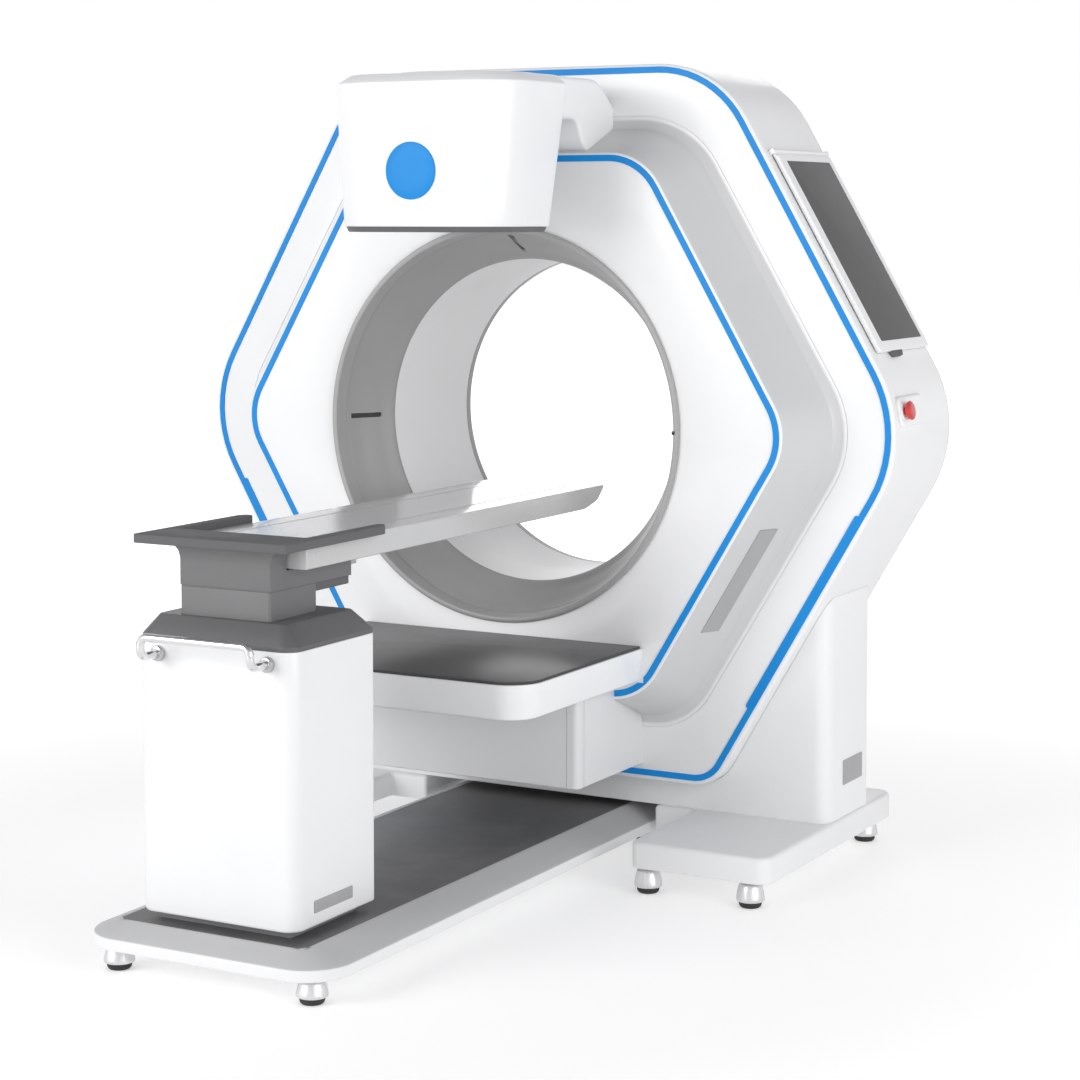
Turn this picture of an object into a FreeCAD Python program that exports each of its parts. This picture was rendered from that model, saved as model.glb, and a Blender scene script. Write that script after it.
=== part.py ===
import FreeCAD, Part
import math
import os

os.makedirs("parts", exist_ok=True)
V = FreeCAD.Vector

# ---- driving dimensions, millimetres; -Y faces the couch, +Z is up ----
FRAME_SHIFT_Y = 433.0          # moves the drawing origin to the middle of the footprint

HEX_Z = 988.0                  # height of the hexagon's centre
COVER_W = 937.0                # half width of the outer cover at its side corners
COVER_TOP = 812.0              # centre to top edge
COVER_BOTTOM = 806.0           # centre to bottom edge
COVER_RADII = (290.0, 250.0, 95.0)
RIDGE_W = 790.0                # where the flat band turns into the slope
RIDGE_TOP = 672.0
RIDGE_BOTTOM = 657.0
RIDGE_RADII = (190.0, 190.0, 150.0)
PANEL_W = 714.0                # edge of the raised middle panel
PANEL_TOP = 613.0
PANEL_BOTTOM = 597.0
PANEL_RADII = (140.0, 140.0, 130.0)
PANEL_Y = -143.0               # face of the raised panel; the band face is at 0
SKIN = 5.0
SHROUD_REAR = 335.0
REAR_Y = 346.0

OUTER_LINE = (918.0, 799.0, 788.0)
OUTER_LINE_RADII = (272.0, 235.0, 72.0)
INNER_LINE = (698.0, 601.0, 584.0)
INNER_LINE_RADII = (128.0, 130.0, 120.0)
LINE_WIDTH = 14.0
WIDE_LINE_WIDTH = 21.0

BORE_Z = 992.0
BORE_R = 372.0
FLANGE_R = 450.0
MOUTH_R = 436.0
FUNNEL_BACK_Y = 0.0
BEARING_GAP = 0.4

STAND_HALF = 725.0
STAND_FRONT_Y = 44.0
STAND_REAR_Y = 285.0
PLATE_TOP = 118.0
PLATE_BOTTOM = 60.0
WING_FRONT_Y = -292.0
PLATE_REAR_Y = 440.0
WING_INNER = 404.0
NOTCH_HALF = 306.0

COUCH_HALF = 291.0
COUCH_FRONT_Y = -1302.0
COUCH_REAR_Y = 225.0
COUCH_BOTTOM = 52.0
COUCH_SIDE_TOP = 76.0
COUCH_TOP = 104.0
INSET_HALF = 216.0
INSET_FRONT_Y = -1256.0

COLUMN_HALF = 183.0
COLUMN_FRONT_Y = -1236.0
COLUMN_REAR_Y = -952.0
COLUMN_BOTTOM = 120.0
COLUMN_TOP = 652.0
COLLAR_TOP = 700.0
PILLAR_HALF = 105.0
PILLAR_FRONT_Y = -1196.0
PILLAR_REAR_Y = -1040.0
SLIDE_GAP = 0.4

TABLE_HALF = 147.0
TABLE_REAR_Y = -1136.0
TABLE_TIP_Y = 82.0
TABLE_TOP = 842.0
TABLE_BOTTOM = 794.0
CARRIER_TOP = 857.0
CARRIER_HALF = 177.0
CARRIER_FRONT_Y = -1250.0
CARRIER_TIP_Y = -892.0
RAIL_BOTTOM = 781.5
CHANNEL_FLOOR = 771.0
CHANNEL_TOP = 791.5
CHANNEL_END_Y = -915.0
PILLAR_TOP = 755.0

TRAY_HALF = 362.0
TRAY_FRONT_Y = -676.0
TRAY_BOTTOM = 436.0
TRAY_TOP = 511.0
BOX_HALF = 290.0
BOX_FRONT_Y = -312.0
BOX_BOTTOM = 220.0

HEAD_FRONT_Y = -520.0
HEAD_BOTTOM = 1440.0
HEAD_SHOULDER = 1745.0
HEAD_TOP = 1765.0
ARM_HALF = 214.0
DISC_R = 61.0
DISC_Z = 1558.0

LEG_X = 470.0                  # inner frame legs, behind the rotor and its belt
LEG_HALF = 45.0
MOTOR_X = -520.0
MOTOR_Z = 500.0

FLANK_ANGLE = math.degrees(math.atan2(COVER_W / 2.0, COVER_TOP))
SCREEN_PIVOT_S = 706.0         # distances up the right upper flank from the side corner
SCREEN_TOP_S = 697.0
SCREEN_BOTTOM_S = 204.0
SCREEN_Y0 = 28.0
SCREEN_Y1 = 326.0
SCREEN_BACK = 3.0              # heights above the flank
SCREEN_FACE = 14.0
HINGE_N = 7.0
HINGE_R = 5.5
PIN_R = 3.0
ESTOP_ANGLE = 10.6
ESTOP_Y = 44.0


# ---- helpers ----
def box(x0, x1, y0, y1, z0, z1):
    return Part.makeBox(x1 - x0, y1 - y0, z1 - z0, V(x0, y0, z0))


def rod_y(radius, y0, y1, x, z):
    return Part.makeCylinder(radius, y1 - y0, V(x, y0, z), V(0, 1, 0))


def rod_z(radius, z0, z1, x, y):
    return Part.makeCylinder(radius, z1 - z0, V(x, y, z0), V(0, 0, 1))


def cone_z(r0, r1, z0, z1, x, y):
    return Part.makeCone(r0, r1, z1 - z0, V(x, y, z0), V(0, 0, 1))


def rounded_wire(points, radii, lift):
    edges = []
    ends = []
    count = len(points)
    for i in range(count):
        p = V(points[i][0], points[i][1], 0)
        a = V(points[i - 1][0], points[i - 1][1], 0).sub(p)
        b = V(points[(i + 1) % count][0], points[(i + 1) % count][1], 0).sub(p)
        a.normalize()
        b.normalize()
        r = radii[i]
        if r <= 0:
            ends.append((p, None, p))
            continue
        half = a.getAngle(b) / 2.0
        bis = a.add(b)
        bis.normalize()
        centre = p.add(bis * (r / math.sin(half)))
        run = r / math.tan(half)
        ends.append((p.add(a * run), centre.sub(bis * r), p.add(b * run)))
    for i in range(count):
        start, mid, stop = ends[i]
        if mid is not None:
            edges.append(Part.Arc(lift(start), lift(mid), lift(stop)).toShape())
        nxt = ends[(i + 1) % count][0]
        if stop.sub(nxt).Length > 1e-6:
            edges.append(Part.makeLine(lift(stop), lift(nxt)))
    return Part.Wire(edges)


def hex_wire(w, top, bottom, radii, y):
    side, up, down = radii
    pts = [(w, 0), (w / 2.0, top), (-w / 2.0, top), (-w, 0), (-w / 2.0, -bottom), (w / 2.0, -bottom)]
    rr = [side, up, up, side, down, down]
    return rounded_wire(pts, rr, lambda p: V(p.x, y, HEX_Z + p.y))


def hex_prism(w, top, bottom, radii, y0, y1):
    face = Part.Face(hex_wire(w, top, bottom, radii, y0))
    return face.extrude(V(0, y1 - y0, 0))


def cover_prism(inset, y0, y1):
    radii = [max(r - inset, 20.0) for r in COVER_RADII]
    w = COVER_W - inset / math.sin(math.radians(60))
    return hex_prism(w, COVER_TOP - inset, COVER_BOTTOM - inset, radii, y0, y1)


def plan_prism(points, radii, z0, z1):
    wire = rounded_wire(points, radii, lambda p: V(p.x, p.y, z0))
    return Part.Face(wire).extrude(V(0, 0, z1 - z0))


def plan_box(x0, x1, y0, y1, radii, z0, z1):
    return plan_prism([(x0, y0), (x1, y0), (x1, y1), (x0, y1)], radii, z0, z1)


def side_prism(points, radii, x0, x1):
    wire = rounded_wire(points, radii, lambda p: V(x0, p.x, p.y))
    return Part.Face(wire).extrude(V(x1 - x0, 0, 0))


def front_prism(points, radii, y0, y1):
    wire = rounded_wire(points, radii, lambda p: V(p.x, y0, p.y))
    return Part.Face(wire).extrude(V(0, y1 - y0, 0))


def ring_y(r_in, r_out, y0, y1):
    outer = rod_y(r_out, y0, y1, 0, BORE_Z)
    return outer.cut(rod_y(r_in, y0 - 1, y1 + 1, 0, BORE_Z))


def turned(profile):
    # profile of (radius, y) points turned about the bore axis
    pts = [V(r, y, BORE_Z) for r, y in profile]
    pts.append(pts[0])
    face = Part.Face(Part.makePolygon(pts))
    return face.revolve(V(0, 0, BORE_Z), V(0, 1, 0), 360)


def loft(wires):
    return Part.makeLoft(wires, True, True)


def mirrored(shape):
    return shape.mirror(V(0, 0, 0), V(1, 0, 0))


def pair(shape):
    return Part.makeCompound([shape, mirrored(shape)])


def group(shapes):
    return Part.makeCompound(shapes)


def on_flank(shape):
    # local x is outward from the right upper flank, local z runs up along it
    s = shape.copy()
    s.rotate(V(0, 0, 0), V(0, 1, 0), -FLANK_ANGLE)
    s.translate(V(COVER_W, 0, HEX_Z))
    return s


def on_corner(shape):
    # local x is outward from the rounded right corner of the cover
    s = shape.copy()
    s.rotate(V(0, 0, 0), V(0, 1, 0), -ESTOP_ANGLE)
    s.translate(V(COVER_W - COVER_RADII[0] / math.sin(math.radians(60)), 0, HEX_Z))
    return s


def spoke_box(r0, r1, half, y0, y1, angle):
    # a box whose local x points outward from the bore axis at this angle
    s = Part.makeBox(r1 - r0, y1 - y0, 2 * half, V(r0, y0, -half))
    s.rotate(V(0, 0, 0), V(0, 1, 0), -angle)
    s.translate(V(0, 0, BORE_Z))
    return s


def save(name, shape):
    s = shape.copy()
    s.translate(V(0, FRAME_SHIFT_Y, 0))
    s.exportStep("parts/" + name + ".step")


# ---- gantry covers ----
ridge = (RIDGE_W, RIDGE_TOP, RIDGE_BOTTOM, RIDGE_RADII)
panel = (PANEL_W, PANEL_TOP, PANEL_BOTTOM, PANEL_RADII)
hump = loft([hex_wire(*ridge, 0.0), hex_wire(*panel, PANEL_Y)])


def shrunk(dims, inset):
    w, top, bottom, radii = dims
    rr = [max(r - inset, 20.0) for r in radii]
    return (w - inset / math.sin(math.radians(60)), top - inset, bottom - inset, rr)


hump_inner = loft([hex_wire(*shrunk(ridge, 7.0), 0.0), hex_wire(*shrunk(panel, 7.0), PANEL_Y + SKIN)])
band = cover_prism(0.0, 0.0, SKIN).cut(hex_prism(*shrunk(ridge, 7.0), -1.0, SKIN + 1.0))
lip = cover_prism(0.0, SKIN, 20.0).cut(cover_prism(SKIN, SKIN - 1.0, 21.0))
front_cover = band.fuse(lip).fuse(hump.cut(hump_inner))
front_cover = front_cover.cut(rod_y(FLANGE_R - 8.0, PANEL_Y - 5.0, SKIN + 5.0, 0, BORE_Z))
front_cover = front_cover.removeSplitter()
front_cover = front_cover.cut(box(-111, 111, -1, SKIN + 1, 1680, 1700))
save("gantry_front_cover", front_cover)


def line_ring(dims, radii, width, y0, y1):
    w, top, bottom = dims
    k = width / 2.0
    grow = k / math.sin(math.radians(60))
    outer = hex_prism(w + grow, top + k, bottom + k, [r + k for r in radii], y0, y1)
    inner = hex_prism(w - grow, top - k, bottom - k, [r - k for r in radii], y0 - 1, y1 + 1)
    return outer.cut(inner)


outer_line = line_ring(OUTER_LINE, OUTER_LINE_RADII, LINE_WIDTH, -2.0, 0.0)
wide_step = (WIDE_LINE_WIDTH - LINE_WIDTH) / 2.0
wide_dims = [side - wide_step for side in OUTER_LINE]
wide = line_ring(wide_dims, [r - wide_step for r in OUTER_LINE_RADII], WIDE_LINE_WIDTH, -2.0, 0.0)
keep = front_prism([(560, 395), (530, 368), (950, 368), (950, 800), (835, 832)], [0] * 5, -3.0, 1.0)
wide_right = wide.common(keep)
outer_line = outer_line.fuse(wide_right).fuse(mirrored(wide_right)).removeSplitter()
save("outer_light_strip", outer_line)
box_zone = box(-BOX_HALF - 2, BOX_HALF + 2, -200, 20, BOX_BOTTOM - 2, HEX_Z - 500)
tray_zone = box(-TRAY_HALF - 2, TRAY_HALF + 2, -200, PANEL_Y + 1, TRAY_BOTTOM - 2, TRAY_TOP + 8)
inner_line = line_ring(INNER_LINE, INNER_LINE_RADII, LINE_WIDTH, PANEL_Y - 2.0, PANEL_Y)
inner_line = inner_line.cut(box_zone).cut(tray_zone)
save("inner_light_strip", inner_line)

shroud = cover_prism(0.0, 21.0, SHROUD_REAR).cut(cover_prism(SKIN, 20.0, SHROUD_REAR + 1))
lug = box(-4.0, HINGE_N + 6.0, 21.0, SCREEN_Y0 - 0.5, SCREEN_PIVOT_S - 6.0, SCREEN_PIVOT_S + 6.0)
lug = lug.fuse(rod_y(PIN_R, SCREEN_Y0 - 1.0, SCREEN_Y0 + 12.0, HINGE_N, SCREEN_PIVOT_S))
far_lug = box(-4.0, HINGE_N + 6.0, SCREEN_Y1 + 0.5, SCREEN_Y1 + 7.0,
              SCREEN_PIVOT_S - 6.0, SCREEN_PIVOT_S + 6.0)
far_lug = far_lug.fuse(rod_y(PIN_R, SCREEN_Y1 - 12.0, SCREEN_Y1 + 1.0, HINGE_N, SCREEN_PIVOT_S))
shroud = shroud.fuse(on_flank(lug)).fuse(on_flank(far_lug))
stem_hole = on_corner(Part.makeCylinder(14.0, 60.0, V(265, ESTOP_Y, 0), V(1, 0, 0)))
shroud = shroud.cut(stem_hole)
leg_gap = pair(box(LEG_X - LEG_HALF - 1, LEG_X + LEG_HALF + 1, 235.0, 263.0, PLATE_TOP - 1, 400.0))
shroud = shroud.cut(leg_gap)
save("gantry_side_shroud", shroud)

rear = cover_prism(0.0, SHROUD_REAR + 1.0, REAR_Y).cut(rod_y(BORE_R + 30.0, 300, 400, 0, BORE_Z))
for side in (-1, 1):
    for k in range(9):
        z = HEX_Z + 330.0 + 24.0 * k
        rear = rear.cut(box(side * 300 - 95, side * 300 + 95, 320, 360, z, z + 9.0))
save("gantry_rear_cover", rear)

rear_ring = turned([(BORE_R, 338.0), (BORE_R + 28, 338.0), (BORE_R + 28, REAR_Y),
                    (BORE_R + 44, REAR_Y), (BORE_R + 44, 356.0),
                    (BORE_R + 30, 360.0), (BORE_R + 4, 360.0), (BORE_R, 356.0)])
save("bore_rear_ring", rear_ring)

flange = turned([(FLANGE_R - 2.0, PANEL_Y - 9.0), (FLANGE_R, PANEL_Y - 6.0), (FLANGE_R, PANEL_Y),
                 (FLANGE_R - 9.0, PANEL_Y), (FLANGE_R - 9.0, PANEL_Y + 22.0),
                 (MOUTH_R - 4.0, PANEL_Y + 26.0), (MOUTH_R, PANEL_Y - 4.0), (MOUTH_R + 4.0, PANEL_Y - 9.0)])
save("bore_flange_ring", flange)

funnel = turned([(MOUTH_R - 1.0, PANEL_Y + 27.0), (MOUTH_R - 10.0, PANEL_Y + 50.0),
                 (BORE_R + 22.0, FUNNEL_BACK_Y - 36.0), (BORE_R + 4.0, FUNNEL_BACK_Y - 8.0),
                 (BORE_R, FUNNEL_BACK_Y), (BORE_R + 5.0, FUNNEL_BACK_Y + 1.0),
                 (BORE_R + 10.0, FUNNEL_BACK_Y - 8.0), (BORE_R + 28.0, FUNNEL_BACK_Y - 34.0),
                 (MOUTH_R - 4.0, PANEL_Y + 52.0), (MOUTH_R + 4.0, PANEL_Y + 28.0)])
windows = []
for angle in (0.0, 90.0, 180.0):
    cutter = spoke_box(380.0, 450.0, 5.5, PANEL_Y + 40.0, FUNNEL_BACK_Y - 26.0, angle)
    windows.append(cutter.common(funnel))
    funnel = funnel.cut(cutter)
save("bore_window_ring", funnel)
save("laser_windows", group(windows))

tunnel = turned([(BORE_R, 2.0), (BORE_R, 337.0), (BORE_R + 4, 337.0), (BORE_R + 4, 2.0)])
save("tunnel_liner", tunnel)

grown = loft([hex_wire(*shrunk(ridge, -2.5), 0.0), hex_wire(*shrunk(panel, -2.5), PANEL_Y)])
vent_zone = front_prism([(560, 783), (740, 783), (605, 548), (410, 548)], [0] * 4, -92.0, -50.0)
vent_pad = grown.cut(hump).common(vent_zone)
save("slope_vent", vent_pad)

# ---- stand ----
skirt = plan_box(-STAND_HALF, STAND_HALF, STAND_FRONT_Y, STAND_REAR_Y, [34, 34, 10, 10], PLATE_TOP, 660.0)
skirt_inner = plan_box(-STAND_HALF + SKIN, STAND_HALF - SKIN, STAND_FRONT_Y + SKIN, STAND_REAR_Y - SKIN,
                       [29, 29, 6, 6], PLATE_TOP - 1, 661.0)
grown_cover = cover_prism(-1.0, STAND_FRONT_Y - 5, STAND_REAR_Y + 5)
grown_more = cover_prism(-1.0 - SKIN, STAND_FRONT_Y - 5, STAND_REAR_Y + 5)
skirt = skirt.cut(grown_cover).cut(skirt_inner.cut(grown_more))
skirt = skirt.cut(leg_gap)
save("stand_skirt", skirt)

plate_pts = [(-730, WING_FRONT_Y), (-WING_INNER, WING_FRONT_Y), (-WING_INNER, 30), (-NOTCH_HALF, 30),
             (-NOTCH_HALF, 250), (NOTCH_HALF, 250), (NOTCH_HALF, 30), (WING_INNER, 30),
             (WING_INNER, WING_FRONT_Y), (730, WING_FRONT_Y), (730, PLATE_REAR_Y), (-730, PLATE_REAR_Y)]
plate = plan_prism(plate_pts, [30, 20, 0, 0, 0, 0, 0, 0, 20, 30, 34, 34], PLATE_BOTTOM, PLATE_TOP)
for sx in (-1, 1):
    for fx in (430.0, 672.0):
        for fy in (-250.0, 402.0):
            plate = plate.cut(rod_z(8.5, PLATE_BOTTOM - 1, PLATE_BOTTOM + 36, sx * fx, fy))
save("stand_base_plate", plate)

louvres = []
for k in range(6):
    y = 137.0 + 17.0 * k
    louvres.append(box(STAND_HALF, STAND_HALF + 2.5, y, y + 11.0, 196.0, 240.0))
grille_back = box(STAND_HALF, STAND_HALF + 1.0, 132.0, 244.0, 190.0, 246.0)
stand_grille = grille_back
for piece in louvres:
    stand_grille = stand_grille.fuse(piece)
stand_grille = stand_grille.removeSplitter()


def foot_set(spots, plate_bottom):
    metal = []
    rubber = []
    for x, y in spots:
        stem = rod_z(8.0, 40.0, plate_bottom + 34.0, x, y)
        nut = rod_z(13.0, plate_bottom - 8.0, plate_bottom, x, y)
        cup = cone_z(23.0, 31.0, 14.0, plate_bottom - 8.0, x, y)
        metal.append(stem.fuse(nut).fuse(cup).removeSplitter())
        rubber.append(cone_z(19.0, 22.5, 0.0, 14.0, x, y))
    return metal, rubber


stand_spots = [(sx * fx, fy) for sx in (-1, 1) for fx in (430.0, 672.0) for fy in (-250.0, 402.0)]
couch_spots = [(sx * 226.0, fy) for sx in (-1, 1) for fy in (-1243.0, 150.0)]
stand_metal, stand_rubber = foot_set(stand_spots, PLATE_BOTTOM)
couch_metal, couch_rubber = foot_set(couch_spots, COUCH_BOTTOM)
save("levelling_feet", group(stand_metal + couch_metal))
save("foot_pads", group(stand_rubber + couch_rubber))

# ---- gantry inside ----
frame = ring_y(505.0, 640.0, 236.0, 262.0)
for sx in (-1, 1):
    foot_x = sx * LEG_X
    leg = box(foot_x - LEG_HALF, foot_x + LEG_HALF, 236.0, 262.0, PLATE_TOP, 760.0)
    frame = frame.fuse(leg)
frame = frame.cut(rod_y(505.0, 230.0, 270.0, 0, BORE_Z))
bracket = box(MOTOR_X + 5.0, MOTOR_X + 45.0, 172.0, 236.0, MOTOR_Z - 73.0, MOTOR_Z - 53.0)
frame = frame.fuse(bracket)
save("gantry_frame", frame.removeSplitter())

bearing_outer = ring_y(470.0 + BEARING_GAP, 505.0, 236.0, 276.0)
save("main_bearing_outer", bearing_outer)
bearing_inner = ring_y(440.0, 470.0, 236.0, 276.0)
save("main_bearing_inner", bearing_inner)
drum = ring_y(392.0, 440.0, 40.0, 290.0)
drum = drum.fuse(ring_y(392.0, 590.0, 190.0, 206.0)).fuse(ring_y(439.0, 548.0, 205.0, 232.0))
save("rotor_drum", drum.removeSplitter())
slip = ring_y(440.0, 500.0, 280.0, 300.0)
save("slip_ring", slip)

tube = rod_y(62.0, 60.0, 188.0, 0, BORE_Z + 545.0)
tube = tube.fuse(box(-50, 50, 80, 170, BORE_Z + 470, BORE_Z + 545))
tube = tube.fuse(box(-60, 60, 90, 160, BORE_Z + 442, BORE_Z + 471))
save("ct_tube", tube.removeSplitter())
arc = ring_y(575.0, 625.0, 92.0, 158.0)
sector = front_prism([(0, BORE_Z + 120), (-640, BORE_Z - 800), (640, BORE_Z - 800)], [0] * 3, 80, 170)
detector = arc.common(sector)
foot_a = box(-200, 200, 158.0, 189.9, BORE_Z - 610, BORE_Z - 560)
detector = detector.fuse(foot_a)
save("ct_detector_arc", detector.removeSplitter())
save("generators", pair(spoke_box(452.0, 585.0, 95.0, 60.0, 189.9, 0.0)))

pulley = rod_y(38.0, 210.0, 232.0, MOTOR_X, MOTOR_Z)
pulley = pulley.fuse(rod_y(12.0, 150.0, 210.0, MOTOR_X, MOTOR_Z))
save("drive_pulley", pulley.removeSplitter())
motor = rod_y(55.0, 60.0, 160.0, MOTOR_X, MOTOR_Z).cut(rod_y(12.05, 100.0, 161.0, MOTOR_X, MOTOR_Z))
motor = motor.fuse(box(MOTOR_X - 50, MOTOR_X + 50, 160.0, 172.0, MOTOR_Z - 75, MOTOR_Z + 50))
motor = motor.cut(rod_y(12.05, 100.0, 180.0, MOTOR_X, MOTOR_Z))
save("drive_motor", motor.removeSplitter())


def belt_solid(r1, r2, thick, y0, y1):
    # open loop round the sheave (r1, bore centre) and the pulley (r2)
    dx = MOTOR_X
    dz = MOTOR_Z - BORE_Z
    dist = math.hypot(dx, dz)
    base = math.atan2(dz, dx)
    swing = math.acos((r1 - r2) / dist)

    def loop(g):
        a, b = r1 + g, r2 + g
        p = []
        for s in (1, -1):
            t = base + s * swing
            p.append(V(a * math.cos(t), y0, BORE_Z + a * math.sin(t)))
            p.append(V(dx + b * math.cos(t), y0, BORE_Z + dz + b * math.sin(t)))
        far = base + math.pi
        m1 = V(a * math.cos(far), y0, BORE_Z + a * math.sin(far))
        m2 = V(dx + b * math.cos(base), y0, BORE_Z + dz + b * math.sin(base))
        edges = [Part.makeLine(p[0], p[1]), Part.Arc(p[1], m2, p[3]).toShape(),
                 Part.makeLine(p[3], p[2]), Part.Arc(p[2], m1, p[0]).toShape()]
        return Part.Face(Part.Wire(edges)).extrude(V(0, y1 - y0, 0))

    return loop(0.4 + thick).cut(loop(0.4))


save("drive_belt", belt_solid(548.0, 38.0, 4.0, 212.0, 230.0))

# ---- x-ray head over the couch ----
def head_wire(half, front, rear, r_front, r_rear, z):
    pts = [(-half, front), (half, front), (half, rear), (-half, rear)]
    return rounded_wire(pts, [r_front, r_front, r_rear, r_rear], lambda p: V(p.x, p.y, z))


head_solid = loft([head_wire(213.0, HEAD_FRONT_Y, -292.0, 96.0, 16.0, HEAD_BOTTOM),
                   head_wire(238.0, HEAD_FRONT_Y - 4.0, -256.0, 112.0, 18.0, HEAD_SHOULDER)])
head_cap = loft([head_wire(238.0, HEAD_FRONT_Y - 4.0, -256.0, 112.0, 18.0, HEAD_SHOULDER),
                 head_wire(216.0, HEAD_FRONT_Y + 18.0, -256.0, 98.0, 18.0, HEAD_TOP)])
head_hollow = loft([head_wire(208.5, HEAD_FRONT_Y + 4.5, -296.5, 92.0, 12.0, HEAD_BOTTOM - 1.0),
                    head_wire(233.5, HEAD_FRONT_Y + 0.5, -260.5, 108.0, 14.0, HEAD_SHOULDER)])
head_outer = head_solid.fuse(head_cap)
arm_pts = [(-330, HEAD_TOP), (-74, HEAD_TOP), (8, HEAD_TOP - 60), (8, 1600),
           (-122, 1600), (-150, 1625), (-172, 1672), (-330, 1672)]
arm_rad = [0, 95, 0, 0, 10, 60, 30, 0]
arm_solid = side_prism(arm_pts, arm_rad, -ARM_HALF, ARM_HALF)
arm_in_pts = [(-330, HEAD_TOP - 6), (-80, HEAD_TOP - 6), (2, HEAD_TOP - 64), (2, 1606),
              (-112, 1606), (-142, 1632), (-162, 1678), (-330, 1678)]
arm_inner = side_prism(arm_in_pts, [0, 85, 0, 0, 6, 56, 26, 0], -ARM_HALF + 5, ARM_HALF - 5)
gantry_body = hump.fuse(cover_prism(0.0, 0.0, 30.0))
spine_slot = box(-111, 111, -320, 20, 1680, 1700)
arm_shell = arm_solid.cut(arm_inner).cut(gantry_body).cut(head_outer)
head_shell = head_outer.cut(head_hollow).cut(spine_slot)
save("head_shell", head_shell.removeSplitter())
save("head_arm_cover", arm_shell.removeSplitter())
base_plate = loft([head_wire(205.0, HEAD_FRONT_Y + 8.0, -300.0, 88.0, 12.0, HEAD_BOTTOM - 12.0),
                   head_wire(209.0, HEAD_FRONT_Y + 4.0, -296.0, 92.0, 12.0, HEAD_BOTTOM - 0.5)])
base_plate = base_plate.cut(box(-60, 60, -460, -340, HEAD_BOTTOM - 4, 1450))
save("head_bottom_plate", base_plate)
spine = box(-110, 110, -345, -320, 1560, 1699).fuse(box(-110, 110, -320, 262, 1681, 1699))
spine = spine.fuse(box(-110, 110, 236, 262, 1634, 1681))
save("head_spine", spine.removeSplitter())
xtube = Part.makeCylinder(58.0, 300.0, V(-150, -404, 1620), V(1, 0, 0))
xtube = xtube.fuse(box(-50, 50, -404, -345, 1590, 1650))
xtube = xtube.fuse(box(-50, 50, -440, -360, 1540, 1620))
xtube = xtube.fuse(box(-75, 75, -470, -330, 1450, 1545))
save("radiography_tube", xtube.removeSplitter())
disc = Part.makeCylinder(DISC_R, 12.0, V(0, HEAD_FRONT_Y + 7.0, DISC_Z), V(0, -1, 0))
save("head_disc", disc.cut(head_outer))

# ---- flat detector below the couch ----
box_outer = plan_box(-BOX_HALF, BOX_HALF, BOX_FRONT_Y, 20.0, [14, 14, 0, 0], BOX_BOTTOM, TRAY_BOTTOM - 0.5)
box_inner = plan_box(-BOX_HALF + 5, BOX_HALF - 5, BOX_FRONT_Y + 5, 30.0, [9, 9, 0, 0],
                     BOX_BOTTOM + 5, TRAY_BOTTOM + 1)
detector_box = box_outer.cut(box_inner).cut(gantry_body)
save("detector_support_box", detector_box)
tray_lower = loft([
    rounded_wire([(-TRAY_HALF + 12, TRAY_FRONT_Y + 12), (TRAY_HALF - 12, TRAY_FRONT_Y + 12),
                  (TRAY_HALF - 12, PANEL_Y), (-TRAY_HALF + 12, PANEL_Y)], [66, 66, 1, 1],
                 lambda p: V(p.x, p.y, TRAY_BOTTOM)),
    rounded_wire([(-TRAY_HALF, TRAY_FRONT_Y), (TRAY_HALF, TRAY_FRONT_Y), (TRAY_HALF, PANEL_Y),
                  (-TRAY_HALF, PANEL_Y)], [78, 78, 1, 1], lambda p: V(p.x, p.y, TRAY_TOP))])
tray_hollow = plan_box(-TRAY_HALF + 22, TRAY_HALF - 22, TRAY_FRONT_Y + 22, PANEL_Y - 5, [56, 56, 4, 4],
                       TRAY_BOTTOM + 5, TRAY_TOP + 1)
tray_hole = box(-200, 200, BOX_FRONT_Y + 12, PANEL_Y - 8, TRAY_BOTTOM - 1, TRAY_BOTTOM + 8)
save("detector_tray", tray_lower.cut(tray_hollow).cut(tray_hole))
glass = plan_box(-TRAY_HALF + 5, TRAY_HALF - 5, TRAY_FRONT_Y + 5, PANEL_Y - 3, [73, 73, 3, 3],
                 TRAY_TOP, TRAY_TOP + 5.5)
save("detector_top_panel", glass)
save("flat_panel_detector", box(-215, 215, -600, -170, TRAY_BOTTOM + 30, TRAY_TOP - 1))
beam = box(-180, 180, -290, PANEL_Y - 9, BOX_BOTTOM + 60, TRAY_BOTTOM + 10)
beam = beam.fuse(box(-180, 180, PANEL_Y - 60, -2, BOX_BOTTOM + 6, BOX_BOTTOM + 96))
save("detector_beam", beam.cut(gantry_body).removeSplitter())

# ---- side screen and stop button ----
glass_box = box(SCREEN_FACE - 3.0, SCREEN_FACE, 60.0, 304.0, 228.0, 679.0)
body = box(SCREEN_BACK, SCREEN_FACE, SCREEN_Y0, SCREEN_Y1, SCREEN_BOTTOM_S, SCREEN_TOP_S)
body = body.makeFillet(3.0, [e for e in body.Edges if e.BoundBox.XLength > 10])
neck = box(SCREEN_BACK, HINGE_N + 3.0, SCREEN_Y0, SCREEN_Y1, SCREEN_TOP_S - 5.0, SCREEN_PIVOT_S - 2.0)
barrel = rod_y(HINGE_R, SCREEN_Y0, SCREEN_Y1, HINGE_N, SCREEN_PIVOT_S)
body = body.cut(glass_box).fuse(neck).fuse(barrel)
for y0 in (SCREEN_Y0 - 1.0, SCREEN_Y1 - 13.0):
    body = body.cut(rod_y(PIN_R + 0.06, y0, y0 + 14.0, HINGE_N, SCREEN_PIVOT_S))
save("screen_body", on_flank(body.removeSplitter()))
save("screen_glass", on_flank(glass_box))
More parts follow.
